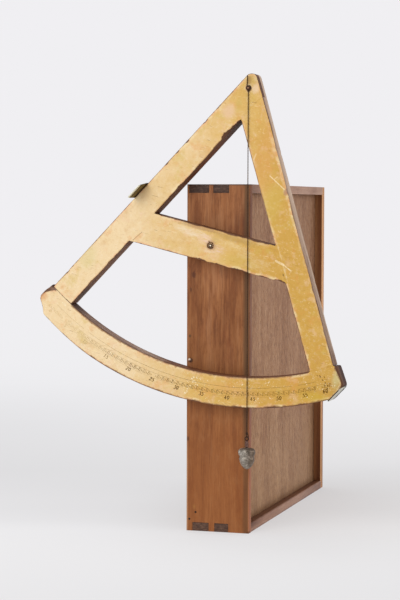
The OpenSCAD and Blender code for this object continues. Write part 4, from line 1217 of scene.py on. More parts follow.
def face_mat(name, seed=0.0, wear=1.0):
    m = Mat(name, rough=0.5, spec=0.3, coat=0.08, coat_rough=0.35)
    loc = m.attr("loc")
    edge = m.attr("edge", "Fac")
    tone = m.attr("tone", "Fac")
    v = m.map(loc, loc=(seed, seed * 0.7, 0))
    big = m.noise(v, 0.022, 4, 0.6)
    mid = m.noise(v, 0.11, 4, 0.6)
    fine = m.noise(v, 0.6, 4, 0.62)
    t = m.math("ADD", tone, m.math("MULTIPLY", m.math("SUBTRACT", big, 0.5), 0.7), cl=True)
    t = m.math("ADD", t, m.math("MULTIPLY", m.math("SUBTRACT", mid, 0.5), 0.45), cl=True)
    col = m.ramp(t, [(0.0, srgb(243, 216, 170)), (0.3, srgb(233, 199, 140)), (0.62, srgb(223, 181, 99)), (1.0, srgb(210, 163, 70))])
    # brownish, orange, pinkish and greenish patches
    st = m.rng(m.noise(v, 0.05, 5, 0.65), 0.57, 0.72)
    col = m.mix(m.math("MULTIPLY", st, 0.28), col, srgb(200, 146, 84))
    org = m.rng(m.noise(m.map(v, loc=(60, 10, 0)), 0.06, 4, 0.6), 0.55, 0.68)
    col = m.mix(m.math("MULTIPLY", org, 0.34), col, srgb(226, 152, 72))
    pk = m.rng(m.noise(m.map(v, loc=(40, 90, 0)), 0.07, 4, 0.6), 0.57, 0.68)
    col = m.mix(m.math("MULTIPLY", pk, 0.34), col, srgb(240, 200, 162))
    gr = m.rng(m.noise(m.map(v, loc=(140, 20, 0)), 0.05, 3, 0.6), 0.57, 0.70)
    col = m.mix(m.math("MULTIPLY", gr, 0.40), col, srgb(212, 184, 88))
    # cloudy small mottle of the old varnish
    mo = m.noise(v, 0.33, 5, 0.7)
    col = m.mix(m.rng(mo, 0.52, 0.68, 0.0, 0.22), col, m.mix(1.0, col, srgb(214, 190, 150), "MULTIPLY"))
    col = m.mix(m.rng(mo, 0.46, 0.34, 0.0, 0.14), col, m.mix(1.0, col, srgb(255, 246, 226), "SCREEN"))
    # a few light flecks where the varnish has flaked, more of them in loose groups
    f2 = m.noise(m.map(v, loc=(7, 3, 0)), 0.045, 2, 0.5)
    fl = m.rng(m.math("ADD", m.noise(v, 0.46, 2, 0.5), m.math("MULTIPLY", f2, 0.6)), 1.095, 1.12)
    col = m.mix(m.math("MULTIPLY", fl, 0.6), col, srgb(252, 220, 146))
    f3 = m.rng(m.math("ADD", m.noise(m.map(v, loc=(3, 8, 5)), 1.0, 2, 0.5), m.math("MULTIPLY", f2, 0.6)), 1.10, 1.125)
    col = m.mix(m.math("MULTIPLY", f3, 0.6), col, srgb(252, 228, 168))
    # scuffs: short light and dark lines
    for rz, th, c, k in ((0.7, 0.70, srgb(250, 226, 170), 0.6), (-0.9, 0.71, srgb(250, 224, 168), 0.5), (0.3, 0.70, srgb(134, 92, 42), 0.5)):
        sc = m.noise(m.map(v, (0.16, 1.7, 1.0), (0, 0, rz)), 0.62, 2, 0.5, 0.3)
        col = m.mix(m.rng(sc, th, th + 0.04, 0.0, k), col, c)
    # dark fly specks, two sizes
    sp = m.rng(m.noise(m.map(v, loc=(11, 7, 3)), 0.75, 2, 0.6), 0.715, 0.755)
    col = m.mix(m.math("MULTIPLY", sp, 0.75), col, srgb(124, 84, 38))
    sp2 = m.rng(m.noise(m.map(v, loc=(31, 17, 3)), 1.5, 2, 0.5), 0.71, 0.75)
    col = m.mix(m.math("MULTIPLY", sp2, 0.6), col, srgb(120, 82, 36))
    # worn fringe: a rubbed light band, broken by brown, and a thin dark line at the very edge
    e = m.math("ADD", edge, m.math("MULTIPLY", m.math("SUBTRACT", fine, 0.5), 1.2))
    e2 = m.math("ADD", e, m.math("MULTIPLY", m.math("SUBTRACT", mid, 0.5), 5.0))
    where = m.noise(m.map(v, loc=(80, 50, 0)), 0.035, 3, 0.55)
    col = m.mix(m.math("MULTIPLY", m.rng(e2, 0.3, 3.2, 0.8, 0.0), m.rng(where, 0.40, 0.54, 0.3, 1.0)), col, m.mix(m.rng(mid, 0.44, 0.56), srgb(246, 222, 172), srgb(240, 184, 140)))
    col = m.mix(m.math("MULTIPLY", m.rng(e2, -0.4, 1.6, 0.6, 0.0), m.rng(where, 0.56, 0.42, 0.15, 1.0)), col, srgb(182, 126, 62))
    col = m.mix(m.math("MULTIPLY", m.rng(e, 0.18, 0.62, 0.9, 0.0), m.rng(m.noise(v, 0.09, 3, 0.6), 0.40, 0.56, 0.35, 1.0)), col, srgb(112, 72, 38))
    for a, b, r0, r1, k in SCRATCH:
        sg = m.segment(loc, a, b, r0, r1)
        sg = m.math("MULTIPLY", sg, m.rng(m.noise(v, 0.9, 3, 0.6), 0.36, 0.52, 0.35, 1.0))
        col = m.mix(m.math("MULTIPLY", sg, k), col, srgb(248, 224, 176))
    h = m.math("ADD", m.math("MULTIPLY", mid, 0.5), m.math("MULTIPLY", fine, 0.3))
    h = m.math("SUBTRACT", h, m.math("MULTIPLY", fl, 0.3))
    r = m.rng(fine, 0.3, 0.7, 0.38, 0.6)
    return m, col, h, r, loc, v, fine, mid


def patch(m, loc, c, size, soft, fine, rough=1.2):
    """1 inside an uneven blob of half-axes size at c."""
    d = m.vmath("MULTIPLY", m.vmath("SUBTRACT", loc, (c[0], c[1], 0)), (1 / size[0], 1 / size[1], 0))
    q = m.vmath("LENGTH", d, None, 1)
    q = m.math("ADD", q, m.math("MULTIPLY", m.math("SUBTRACT", fine, 0.5), rough))
    return m.rng(q, 1 - soft, 1 + soft, 1.0, 0.0)


def sheet(name, node, loops, seed, mat, chips=(), wear=None, grid=1.7, body="sextant", seam=None, under=None):
    """Glued sheet with a ragged edge. seam(p) is 1 where it meets another sheet, so the edge stays whole there."""
    out = []
    for i, pts in enumerate(loops):
        l = closed_dense(pts, 0.6) if i == 0 else np.asarray(pts, float)
        if i == 0:
            l = relax(l, 3)
            n = inward(l) if area(l) > 0 else -inward(l)
            d = np.zeros(len(l))
            for j, p in enumerate(l):
                s = seam(p) if seam else 0.0
                a = 0.04 + 0.12 * abs(nz(p[0] * 0.6 + seed, p[1] * 0.6))
                b = max(0.0, nz(p[0] * 0.21 + seed, p[1] * 0.21, 2.0) - 0.16) * 1.7
                c = max(0.0, nz(p[0] * 0.045 + seed, p[1] * 0.045, 5.0) - 0.1) * 1.4
                k = wear(p) if wear else 1.0
                d[j] = (a + (b * (0.4 + c)) * k) * (1 - s)
                for (cx, cz, ru, dep, dx, dz) in chips:
                    # ru long along the direction (dx, dz), as deep as dep
                    w = abs((p[0] - cx) * dx + (p[1] - cz) * dz)
                    far = abs(-(p[0] - cx) * dz + (p[1] - cz) * dx)
                    if w < ru and far < 9:
                        q = 1 - (w / ru) ** 2
                        d[j] += dep * q * (0.75 + 0.5 * nz(p[0] * 0.7, p[1] * 0.7, seed))
            l = l + n * np.clip(d, 0, None)[:, None]
            l = relax(l, 1, 0.4)
        out.append(l)
    rings = [(Y_FACE, 0.10), (Y_FACE + 0.06, 0.0), (Y_WOOD - 0.0, -0.02)]
    v, f = solid(out, rings, front_grid=grid)
    up = (v[:, 2] < Y_FACE + 0.1)
    lift = np.array([cockle(a, b) - (0.07 * under((a, b)) if under else 0) if u else 0.0 for (a, b, _), u in zip(v, up)])
    v[:, 2] -= lift
    allp = np.concatenate(out)
    tree = kdtree.KDTree(len(allp))
    for i, p in enumerate(allp):
        tree.insert((p[0], p[1], 0), i)
    tree.balance()

    def edge(co):
        q = flat_loc(co)
        res = np.empty(len(q))
        for i, p in enumerate(q):
            dist = tree.find((p[0], p[1], 0))[2]
            s = seam((p[0], p[1])) if seam else 0.0
            res[i] = dist + s * 6.0
        return res

    return make(name, frame_place(v), f, mat, body, [node], "face_sheet", 40, attrs={"loc": flat_loc, "edge": edge, "tone": tone_at})


def to_uv(side, p):
    if side < 0:
        return -p[0] * S30 - p[1] * C30, -p[0] * C30 + p[1] * S30
    return p[0] * S30 - p[1] * C30, p[0] * C30 + p[1] * S30


def build_sheets():
    # left limb and apex
    l = limb_outline(-1, 0.3)
    pin = circle_loop(0, 0, 1.95, 26)
    pin = pin * (1 + 0.10 * np.array([nz(p[0], p[1], 9.0) for p in pin]))[:, None]
    du = limb(-1, 1, 0)
    chips = [(*limb(-1, 53.6, 9.6), 3.5, 1.5, *du), (*limb(-1, 80.5, 9.6), 3.0, 1.1, *du), (*limb(-1, 95, 9.6), 3.0, 0.9, *du),
             (*limb(-1, 111, 9.6), 2.8, 1.1, *du), (*limb(-1, 34, 9.6), 4.0, 0.7, *du), (*limb(-1, 262, 9.6), 2.8, 1.3, *du),
             (*limb(-1, 49, -15.6), 6.5, 3.6, *du), (*limb(-1, 40, -15.6), 7.0, 2.2, *du), (*limb(-1, 31, -15.6), 4.0, 1.2, *du), (*limb(-1, 62, -15.6), 7.0, 1.0, *du),
             (*limb(-1, 118, -15.6), 3.0, 0.9, *du), (*limb(-1, 222, -15.6), 4.5, 0.7, *du), (*limb(-1, 252, -15.6), 3.5, 0.8, *du)]

    def seam_l(p):
        u, v = to_uv(-1, p)
        r = math.hypot(p[0], p[1])
        ur, vr = to_uv(1, p)
        s = smooth((r - 283.5) / 1.0)
        if v < -14.5 and -175.8 < p[1] < -142.2:
            s = 1.0
        if v < -14.5 and u < 30 and vr > -17:
            s = 1.0
        return s

    m, col, h, r, loc, v, fine, mid = face_mat("left_face", 0.0)
    # dark dirt round the plumb pin and a paler zone right of it
    q = m.vmath("LENGTH", m.vmath("MULTIPLY", loc, (1, 1, 0)), None, 1)
    q2 = m.math("ADD", q, m.math("MULTIPLY", m.math("SUBTRACT", fine, 0.5), 1.6))
    col = m.mix(m.math("MULTIPLY", patch(m, loc, (6.6, 0.8), (3.4, 4.6), 0.5, fine), 0.7), col, srgb(240, 208, 172))
    col = m.mix(m.math("MULTIPLY", patch(m, loc, (2, 9), (8, 5), 0.6, fine), 0.45), col, srgb(196, 170, 100))
    col = m.mix(m.math("MULTIPLY", patch(m, loc, limb(-1, 30, -1), (6, 7), 0.6, fine, 0.8), 0.5), col, srgb(240, 204, 178))
    col = m.mix(m.math("MULTIPLY", patch(m, loc, limb(-1, 19, -4), (3, 6), 0.6, fine, 0.8), 0.4), col, srgb(206, 182, 96))
    col = m.mix(m.rng(q2, 2.3, 3.7, 0.95, 0.0), col, srgb(58, 34, 20))
    col = m.mix(m.math("MULTIPLY", patch(m, loc, (-1.5, 7.0), (2.6, 4.5), 0.4, fine), 0.5), col, srgb(150, 104, 52))
    # short line of the old glue joint beside the apex
    col = m.mix(m.math("MULTIPLY", m.segment(loc, (6.6, -12.6), (16.5, -11.0), 0.15, 0.5), 0.55), col, srgb(140, 98, 50))
    # greenish varnish beside the outer edge, half-way down
    col = m.mix(m.math("MULTIPLY", patch(m, loc, limb(-1, 236, 5), (9, 12), 0.5, fine), 0.35), col, srgb(216, 206, 142))
    # painted soft shadow of the sight plate
    col = m.mix(m.math("MULTIPLY", patch(m, loc, limb(-1, 146, 6.5), (5.5, 9.0), 0.5, fine, 0.7), 0.2), col, srgb(186, 140, 84))
    left = sheet("left_face_paper", "left_face_sheet", [l, pin], 1.3, m.done(col, r, m.bump(h, 0.4, 0.0004)), chips,
                 wear=lambda p: 0.6, seam=seam_l)

    # right limb
    inn = LIMB_IN - 0.4
    out = RIGHT_OUT - 0.4
    top = limb_meet(inn, out)
    p_out = limb(1, math.sqrt(R_IN**2 - out**2), out)
    p_in = limb(1, math.sqrt(R_IN**2 - inn**2), -inn)
    end = arc_pts(0, 0, R_IN, math.atan2(p_in[1], p_in[0]), math.atan2(p_out[1], p_out[0]), 0.8)
    ro = [top[0]] + [top[1]] + end
    du = limb(1, 1, 0)
    chips = [(*limb(1, 108, out), 3.5, 0.8, *du), (*limb(1, 206, out), 4, 0.6, *du), (*limb(1, 250, out), 4, 0.5, *du), (*limb(1, 64, out), 3, 0.5, *du)]

    def seam_r(p):
        u, v = to_uv(1, p)
        ul, vl = to_uv(-1, p)
        s = smooth((math.hypot(p[0], p[1]) - 282.0) / 1.0)
        if v < -14.5 and -175.8 < p[1] < -142.2:
            s = 1.0
        if vl > -17.4 and u < 60:
            s = 1.0
        return s

    m, col, h, r, loc, v, fine, mid = face_mat("right_face", 0.0)
    col = m.mix(m.math("MULTIPLY", patch(m, loc, limb(1, 70, -4), (10, 34), 0.6, mid, 0.8), 0.4), col, srgb(222, 160, 84))
    col = m.mix(m.math("MULTIPLY", patch(m, loc, limb(1, 118, -8), (9, 22), 0.6, mid, 0.8), 0.4), col, srgb(212, 184, 84))
    col = m.mix(m.math("MULTIPLY", patch(m, loc, limb(1, 108, 8.4), (2.2, 3.4), 0.5, fine), 0.6), col, srgb(160, 84, 60))
    sheet("right_face_paper", "right_face_sheet", [ro], 5.9, m.done(col, r, m.bump(h, 0.4, 0.0004)), chips,
          wear=lambda p: 0.3, seam=seam_r, under=lambda p: smooth((to_uv(-1, p)[1] + 16.2) / 0.35))

    # crossbar
    b = bar_shape(1.3, BAR_H - 0.2)
    hole = circle_loop(0, -PIVOT_R, 3.35, 30)
    hole = np.array([0, -PIVOT_R]) + (hole - np.array([0, -PIVOT_R])) * (1 + 0.14 * np.array([nz(p[0] * 0.6, p[1] * 0.6, 3.0) for p in hole]))[:, None]
    chips = [(-40, -175.1, 5, 0.6, 1, 0), (-8, -175.1, 8, 1.3, 1, 0), (12, -175.1, 8, 1.0, 1, 0), (34, -175.1, 10, 1.5, 1, 0), (60, -175.1, 6, 0.9, 1, 0),
             (77, -175.1, 6.5, 2.2, 1, 0), (-20, -142.9, 6, 0.8, 1, 0), (18, -142.9, 9, 0.9, 1, 0), (44, -142.9, 6, 1.1, 1, 0)]

    def seam_b(p):
        u, v = to_uv(-1, p)
        u2, v2 = to_uv(1, p)
        return 1.0 if (v > -21.0 or v2 > -21.0) else 0.0

    m, col, h, r, loc, v, fine, mid = face_mat("crossbar_face", 0.0)
    # rubbed places round the bolt: broken streaks that run from upper left to lower right
    streak = m.noise(m.map(loc, (0.35, 1.5, 1.0), (0, 0, 0.42)), 0.5, 4, 0.65, 0.4)
    for c, sz, k, tint in (((-20, -151.0), (14, 3.6), 0.8, (243, 222, 190)), ((-7, -154.6), (7, 4.6), 0.85, (240, 206, 180)), ((7.5, -161.0), (7.5, 4.4), 0.85, (236, 200, 170)),
                           ((-3, -164.5), (6, 2.4), 0.6, (240, 214, 180)), ((22, -152.5), (9, 3.0), 0.55, (240, 214, 160)), ((-34, -149.3), (7, 2.6), 0.6, (243, 222, 188)),
                           ((3, -152.5), (5, 3.0), 0.5, (208, 176, 128)), ((36, -158), (9, 5), 0.4, (238, 212, 160)), ((52, -165), (10, 6), 0.35, (240, 214, 170))):
        w = m.math("MULTIPLY", patch(m, loc, c, sz, 0.45, fine, 1.4), m.rng(streak, 0.42, 0.60, 0.25, 1.0))
        col = m.mix(m.math("MULTIPLY", w, k), col, srgb(*tint))
    col = m.mix(m.math("MULTIPLY", patch(m, loc, (0.6, -PIVOT_R + 0.2), (5.0, 4.6), 0.35, fine, 1.3), 0.5), col, srgb(150, 112, 78))
    col = m.mix(m.math("MULTIPLY", m.segment(loc, (-2.6, -155.0), (-1.4, -157.0), 0.3, 0.9), 0.8), col, srgb(98, 62, 38))
    col = m.mix(m.math("MULTIPLY", patch(m, loc, (-14, -144.6), (22, 1.7), 0.5, fine), 0.5), col, srgb(160, 110, 60))
    col = m.mix(m.math("MULTIPLY", patch(m, loc, (24, -146.5), (20, 3.0), 0.6, fine), 0.5), col, srgb(176, 140, 72))
    col = m.mix(m.math("MULTIPLY", patch(m, loc, (34, -167), (16, 6), 0.6, mid), 0.4), col, srgb(214, 184, 92))
    # crack along the left end, where the paper bridges the joint
    col = m.mix(m.math("MULTIPLY", m.segment(loc, (-79.4, -173.7), (-72.2, -163.6), 0.12, 0.45), 0.6), col, srgb(120, 82, 44))
    sheet("crossbar_face_paper", "crossbar_face_sheet", [b, hole], 9.2, m.done(col, r, m.bump(h, 0.45, 0.0005)), chips,
          wear=lambda p: 1.15, seam=seam_b, under=lambda p: smooth((max(to_uv(-1, p)[1], to_uv(1, p)[1]) + 15.6) / 0.5))

    # scale
    a = arc_outline(0.4, paper=True)
    chips = []
    for ang, ru, dep in ((-28.6, 3, 0.5), (-24, 5, 0.6), (-17, 5, 0.6), (-12, 7, 0.6), (-3, 5, 0.6), (4, 7, 0.8), (12, 6, 1.0), (18.5, 9, 1.1), (24, 7, 0.8)):
        t = math.radians(ang)
        chips.append((313.6 * math.sin(t), -313.6 * math.cos(t), ru, dep, math.cos(t), math.sin(t)))

    def seam_s(p):
        rr = math.hypot(p[0], p[1])
        u, v = to_uv(-1, p)
        u2, v2 = to_uv(1, p)
        if -17 < v < 4.8:
            return 0.9 * smooth((285.0 - rr) / 0.8)
        return smooth((285.0 - rr) / 1.0) if -17.5 < v2 < 9.8 else 0.0

    m, col, h, r, loc, v, fine, mid = face_mat("scale_face", 0.0)
    col = m.mix(m.math("MULTIPLY", patch(m, loc, (155.5, -251), (4.0, 9.5), 0.6, fine, 0.8), 0.6), col, srgb(214, 206, 150))
    col = m.mix(m.math("MULTIPLY", patch(m, loc, (141, -276), (14, 5), 0.6, mid), 0.55), col, srgb(206, 172, 48))
    col = m.mix(m.math("MULTIPLY", patch(m, loc, (60, -292), (28, 5), 0.5, mid), 0.4), col, srgb(226, 172, 100))
    # the outer edge is rubbed brown, unevenly
    fr = m.math("ADD", m.attr("edge", "Fac"), m.math("MULTIPLY", m.math("SUBTRACT", m.noise(v, 0.28, 4, 0.65), 0.5), 5.0))
    outer = m.rng(m.vmath("LENGTH", loc, None, 1), 296, 304)
    col = m.mix(m.math("MULTIPLY", m.rng(fr, 0.3, 1.5, 0.7, 0.0), outer), col, srgb(146, 104, 62))
    # small pale flecks along the middle of the arc
    group = m.noise(m.map(v, loc=(2, 6, 1)), 0.05, 2, 0.5)
    flk = m.rng(m.math("ADD", m.noise(m.map(v, loc=(13, 4, 9)), 0.75, 2, 0.5), m.math("MULTIPLY", group, 0.5)), 0.94, 0.975)
    col = m.mix(m.math("MULTIPLY", m.math("MULTIPLY", flk, 0.78), m.rng(m.attr("edge", "Fac"), 2.0, 5.0, 0.25, 1.0)), col, srgb(254, 240, 204))
    col = m.mix(m.math("MULTIPLY", patch(m, loc, limb(-1, 298, 11.5), (4.5, 4.5), 0.5, fine), 0.5), col, srgb(222, 158, 104))
    sheet("scale_paper", "scale_sheet", [a], 14.1, m.done(col, r, m.bump(h, 0.4, 0.0004)), chips,
          wear=lambda p: 0.7, seam=seam_s, under=lambda p: smooth((284.0 - math.hypot(*p)) / 0.3) if to_uv(1, p)[1] > -17.5 and p[0] > 0 else 0.0)


def limb_meet(inn, out):
    """Top edge of the right sheet: a line under the left sheet's inner edge, from the right outer edge to the inner corner."""
    w = LIMB_IN - 1.6                   # left limb's coordinate of that line
    x1, z1 = (out + w) / (2 * C30), (-w + out) / (2 * S30)
    x0, z0 = (-inn + w) / (2 * C30), (-w - inn) / (2 * S30)
    return [(x1, z1), (x0, z0)]


build_sheets()


# ---------------------------------------------------------------- ink of the scale
def polar(r, deg):
    """Point on the scale: 0 degrees on the left limb's line, 60 on the right limb's."""
    t = math.radians(deg - 30)
    return r * math.sin(t), -r * math.cos(t)


def ribbon(pts, widths, lift=0.03, thick=0.05):
    """Thin raised stroke through flat points."""
    p = np.array(pts, float)
    t = np.gradient(p, axis=0)
    t /= np.maximum(np.linalg.norm(t, axis=1), 1e-9)[:, None]
    n = np.stack([-t[:, 1], t[:, 0]], 1)
    w = np.array(widths, float)[:, None] / 2
    a, b = p + n * w, p - n * w
    ya = np.array([Y_FACE - cockle(*q) - lift for q in p])
    verts = [(*q, y) for q, y in zip(a, ya)] + [(*q, y) for q, y in zip(b, ya)] + \
            [(*q, y + thick) for q, y in zip(a, ya)] + [(*q, y + thick) for q, y in zip(b, ya)]
    k = len(p)
    f = []
    for i in range(k - 1):
        f += [(i, i + 1, k + i + 1, k + i), (2 * k + i, 3 * k + i, 3 * k + i + 1, 2 * k + i + 1),
              (i, 2 * k + i, 2 * k + i + 1, i + 1), (k + i, k + i + 1, 3 * k + i + 1, 3 * k + i)]
    f += [(0, k, 3 * k, 2 * k), (k - 1, 3 * k - 1, 4 * k - 1, 2 * k - 1)]
    return np.array(verts), f


def spline(pts, n=7):
    p = [np.array(q, float) for q in pts]
    p = [2 * p[0] - p[1]] + p + [2 * p[-1] - p[-2]]
    out = []
    for i in range(1, len(p) - 2):
        for j in range(n):
            t = j / n
            out.append(0.5 * ((2 * p[i]) + (-p[i - 1] + p[i + 1]) * t + (2 * p[i - 1] - 5 * p[i] + 4 * p[i + 1] - p[i + 2]) * t * t + (-p[i - 1] + 3 * p[i] - 3 * p[i + 1] + p[i + 2]) * t**3))
    out.append(p[-2])
    return out


# plain written figures in a box 0.6 wide and 1 high
FIGURES = {
    "0": [[(0.32, 1.0), (0.08, 0.75), (0.05, 0.35), (0.25, 0.0), (0.48, 0.22), (0.54, 0.65), (0.34, 1.0)]],
    "1": [[(0.12, 0.78), (0.34, 1.0), (0.30, 0.5), (0.26, 0.0)]],
    "2": [[(0.08, 0.76), (0.22, 1.0), (0.46, 0.92), (0.46, 0.66), (0.26, 0.34), (0.04, 0.02), (0.30, 0.08), (0.56, 0.03)]],
    "3": [[(0.10, 0.88), (0.30, 1.0), (0.50, 0.84), (0.40, 0.60), (0.24, 0.54)], [(0.24, 0.54), (0.48, 0.44), (0.50, 0.16), (0.26, 0.0), (0.05, 0.14)]],
    "4": [[(0.36, 1.0), (0.20, 0.66), (0.04, 0.34), (0.30, 0.33), (0.58, 0.36)], [(0.42, 0.62), (0.38, 0.3), (0.34, -0.02)]],
    "5": [[(0.52, 1.0), (0.32, 0.96), (0.16, 0.96)], [(0.18, 0.96), (0.12, 0.58), (0.36, 0.62), (0.52, 0.40), (0.42, 0.08), (0.20, 0.0), (0.02, 0.12)]],
    "6": [[(0.48, 0.96), (0.26, 0.86), (0.08, 0.50), (0.10, 0.14), (0.30, 0.0), (0.50, 0.18), (0.44, 0.44), (0.22, 0.46), (0.09, 0.28)]],
}


def build_ink():
    verts, faces, fade = [], [], []

    def add(v, f, k):
        faces.extend(tuple(x + len(verts) for x in q) for q in f)
        verts.extend(list(v))
        fade.extend([k] * len(v))

    def strength(deg):
        return clamp(0.10 + 0.9 * smooth((deg - 4) / 20))

    def group(deg):
        return 0.62 + 0.45 * clamp(nz(deg * 0.22, 3.0) + 0.5) + 0.12 * nz(deg * 0.9, 5.0)

    # three circles, broken where the ink has gone
    for r, w, k0 in ((294.2, 0.34, 0.62), (297.9, 0.28, 0.5), (303.1, 0.22, 0.34)):
        d = -1.2
        while d < 60.8:
            seg = [d + 0.119 * i for i in range(11)]
            mid = seg[5]
            wear_and_painted_light = nz(mid * 0.35, r) + 0.5 * nz(mid * 1.3, r, 4)
            if wear_and_painted_light < 0.30 and -0.5 < mid < 60.4 and (mid > 5 or wear_and_painted_light < -0.1):
                pts = [polar(r + 0.10 * nz(q * 0.5, r), q) for q in seg]
                wid = [w * (0.8 + 0.35 * nz(q * 2.1, r, 2)) for q in seg]
                v, f = ribbon(pts, wid)
                add(v, f, k0 * (0.35 + 0.65 * strength(mid)) * (1 - 0.8 * max(0, wear_and_painted_light)))
            d += 1.2
    lines = (np.array(verts), list(faces), list(fade))
    verts.clear(), faces.clear(), fade.clear()

    # rows of small written strokes: a tall pair at each degree, a lower one between
    for i in range(0, 121):
        d = i / 2
        j = nz(d * 3.3, 1.0)
        s_ = strength(d)
        if nz(d * 1.1, 8.0) > 0.34 or nz(d * 2.3, 2.0) > 0.52:
            continue
        if i % 2 == 0:
            w = 0.55
            h = 0.6 * nz(d * 2.7, 6.0)
            pts = [polar(298.6 + h, d - 0.10), polar(299.6, d + 0.02 + 0.05 * j), polar(301.3 + 0.3 * j, d - 0.12), polar(301.8 + h, d + 0.02)]
            v, f = ribbon(spline(pts, 4), [w * (0.6 + 0.5 * abs(math.sin(1.3 * q))) for q in range(13)])
            add(v, f, s_ * group(d) * (0.85 + 0.15 * j))
            pts = [polar(299.2, d + 0.02), polar(298.5, d + 0.16), polar(299.5, d + 0.27), polar(301.6, d + 0.17), polar(301.9, d + 0.30)]
            v, f = ribbon(spline(pts, 4), [w * 0.8 * (0.6 + 0.4 * abs(math.cos(1.1 * q))) for q in range(17)])
            add(v, f, s_ * group(d + 0.3) * 0.8)
        else:
            pts = [polar(299.3 + 0.3 * j, d - 0.08), polar(300.5, d + 0.02), polar(301.6 + 0.2 * j, d - 0.05), polar(299.9, d + 0.15), polar(301.5, d + 0.20)]
            v, f = ribbon(spline(pts, 4), [0.36] * 17)
            add(v, f, s_ * group(d) * 0.5)
    marks = (np.array(verts), list(faces), list(fade))
    verts.clear(), faces.clear(), fade.clear()

    # plain figures every five degrees, their heads towards the plumb pin
    for n in range(0, 61, 5):
        text = str(n)
        h = 3.6
        r0 = 306.6
        width = 0.76 * h
        start = -(len(text) * width) / 2 + 0.9
        for c, ch in enumerate(text):
            for stroke in FIGURES[ch]:
                pts = []
                for (a, b) in spline(stroke, 6):
                    x = start + c * width + a * h * 0.95 + b * h * 0.16 + 0.15 * nz(a * 3, b * 3, n)
                    y = b * h + 0.12 * nz(a * 3 + 5, b * 3, n)
                    deg = min(max(n, 0.9), 58.9) - 0.12 + math.degrees(x / 305)
                    pts.append(polar(r0 - y, deg))
                k = len(pts)
                wid = []
                for i in range(k):
                    q0, q1 = pts[max(i - 1, 0)], pts[min(i + 1, k - 1)]
                    dr = abs(math.hypot(*q0) - math.hypot(*q1)) / max(math.dist(q0, q1), 1e-6)
                    wid.append((0.42 + 0.50 * dr) * (0.85 + 0.15 * nz(i * 0.7, n)) * (0.55 if i in (0, k - 1) else 1))
                v, f = ribbon(pts, wid, lift=0.035)
                add(v, f, strength(n) * (0.8 + 0.2 * nz(n * 0.9, c)))
    # a few blots at the end of the scale
    for i, (r, d, s) in enumerate(((289.6, 58.6, 0.9), (291.4, 59.4, 0.6), (293.6, 58.9, 0.7), (297.0, 59.3, 0.8), (288.4, 58.1, 0.45), (300.2, 59.6, 0.9), (302.6, 59.4, 0.7), (304.4, 58.7, 0.5), (306.3, 59.2, 0.6))):
        pts = [polar(r - 0.9 * s, d - 0.12 * s), polar(r - 0.1, d + 0.10 * s), polar(r + 0.8 * s, d - 0.02), polar(r + 1.3 * s, d + 0.14 * s)]
        v, f = ribbon(spline(pts, 4), [0.75 * s * (0.5 + 0.5 * abs(math.sin(q * 0.8 + i))) + 0.12 for q in range(13)])
        add(v, f, 0.75)
    figs = (np.array(verts), list(faces), list(fade))

    m = Mat("brown_ink", rough=0.7, spec=0.08)
    k = m.attr("ink", "Fac")
    loc = m.attr("loc")
    n = m.noise(loc, 0.9, 3, 0.6)
    tone = m.attr("tone", "Fac")
    under = m.ramp(tone, [(0.0, srgb(236, 208, 156)), (0.5, srgb(222, 182, 108)), (1.0, srgb(206, 158, 68))])
    q = m.math("MULTIPLY", k, m.rng(n, 0.3, 0.62, 0.68, 1.25), cl=True)
    c = m.mix(q, under, srgb(86, 54, 8))
    mat = m.done(c, None, m.bump(n, 0.2, 0.0001))
    for name, (v, f, fd) in (("scale_lines", lines), ("degree_marks", marks), ("degree_numbers", figs)):
        fd = np.array(fd)
        ob = make(name, frame_place(v), f, mat, "sextant", [], "face_sheet", 0, weld=0, attrs={"loc": flat_loc, "tone": tone_at})
        a = ob.data.attributes.new("ink", "FLOAT", "POINT")
        a.data.foreach_set("value", fd.astype(np.float32))


build_ink()


# ---------------------------------------------------------------- brass, pins and nails
def brass(name, tones, rough=0.42, bumps=0.3, front=None, back=None, metal=0.85, line=None):
    m = Mat(name, rough=rough, metal=metal, spec=0.5)
    v = m.obj()
    n = m.noise(v, 0.16, 5, 0.65)
    n2 = m.noise(m.map(v, (1, 1, 0.2)), 1.6, 3, 0.6)
    c = m.ramp(m.math("ADD", m.math("MULTIPLY", n, 0.7), m.math("MULTIPLY", n2, 0.3)), [(0.36, tones[0]), (0.5, tones[1]), (0.66, tones[2])])
    sep = m.node("ShaderNodeSeparateXYZ")
    m.put(sep.inputs[0], v)
    if front:   # front edge in a colour of its own
        c = m.mix(m.rng(sep.outputs[1], front[0], front[0] - 0.7), c, front[1])
    if line:    # dark line beside it
        c = m.mix(m.math("MULTIPLY", m.rng(sep.outputs[1], line[0] - 0.6, line[0]), m.rng(sep.outputs[1], line[1] + 0.8, line[1])), c, line[2])
    if back:    # darker towards the wood
        c = m.mix(m.rng(sep.outputs[1], back[0], back[0] + back[2], 0.0, back[3]), c, back[1])
    r = m.rng(n, 0.3, 0.7, rough - 0.08, rough + 0.22)
    return m.done(c, r, m.bump(n2, bumps, 0.00012))


# the upper plate's light front edge is a painted highlight
M_PLATE = brass("tarnished_brass", [srgb(82, 70, 32), srgb(116, 100, 52), srgb(154, 138, 88)], 0.5, front=(-198.8, srgb(226, 226, 212)), back=(-190.5, srgb(56, 34, 10), 6.0, 0.92), line=(-199.0, -196.8, srgb(58, 54, 34)))
M_PLATE2 = brass("grey_brass", [srgb(150, 146, 128), srgb(196, 192, 174), srgb(232, 230, 216)], 0.34, front=(-202.0, srgb(66, 60, 42)), back=(-184.5, srgb(62, 58, 46), 3.0, 0.92), metal=0.6)
M_PIN = brass("old_brass_pin", [srgb(96, 72, 38), srgb(150, 120, 66), srgb(206, 184, 130)], 0.35)


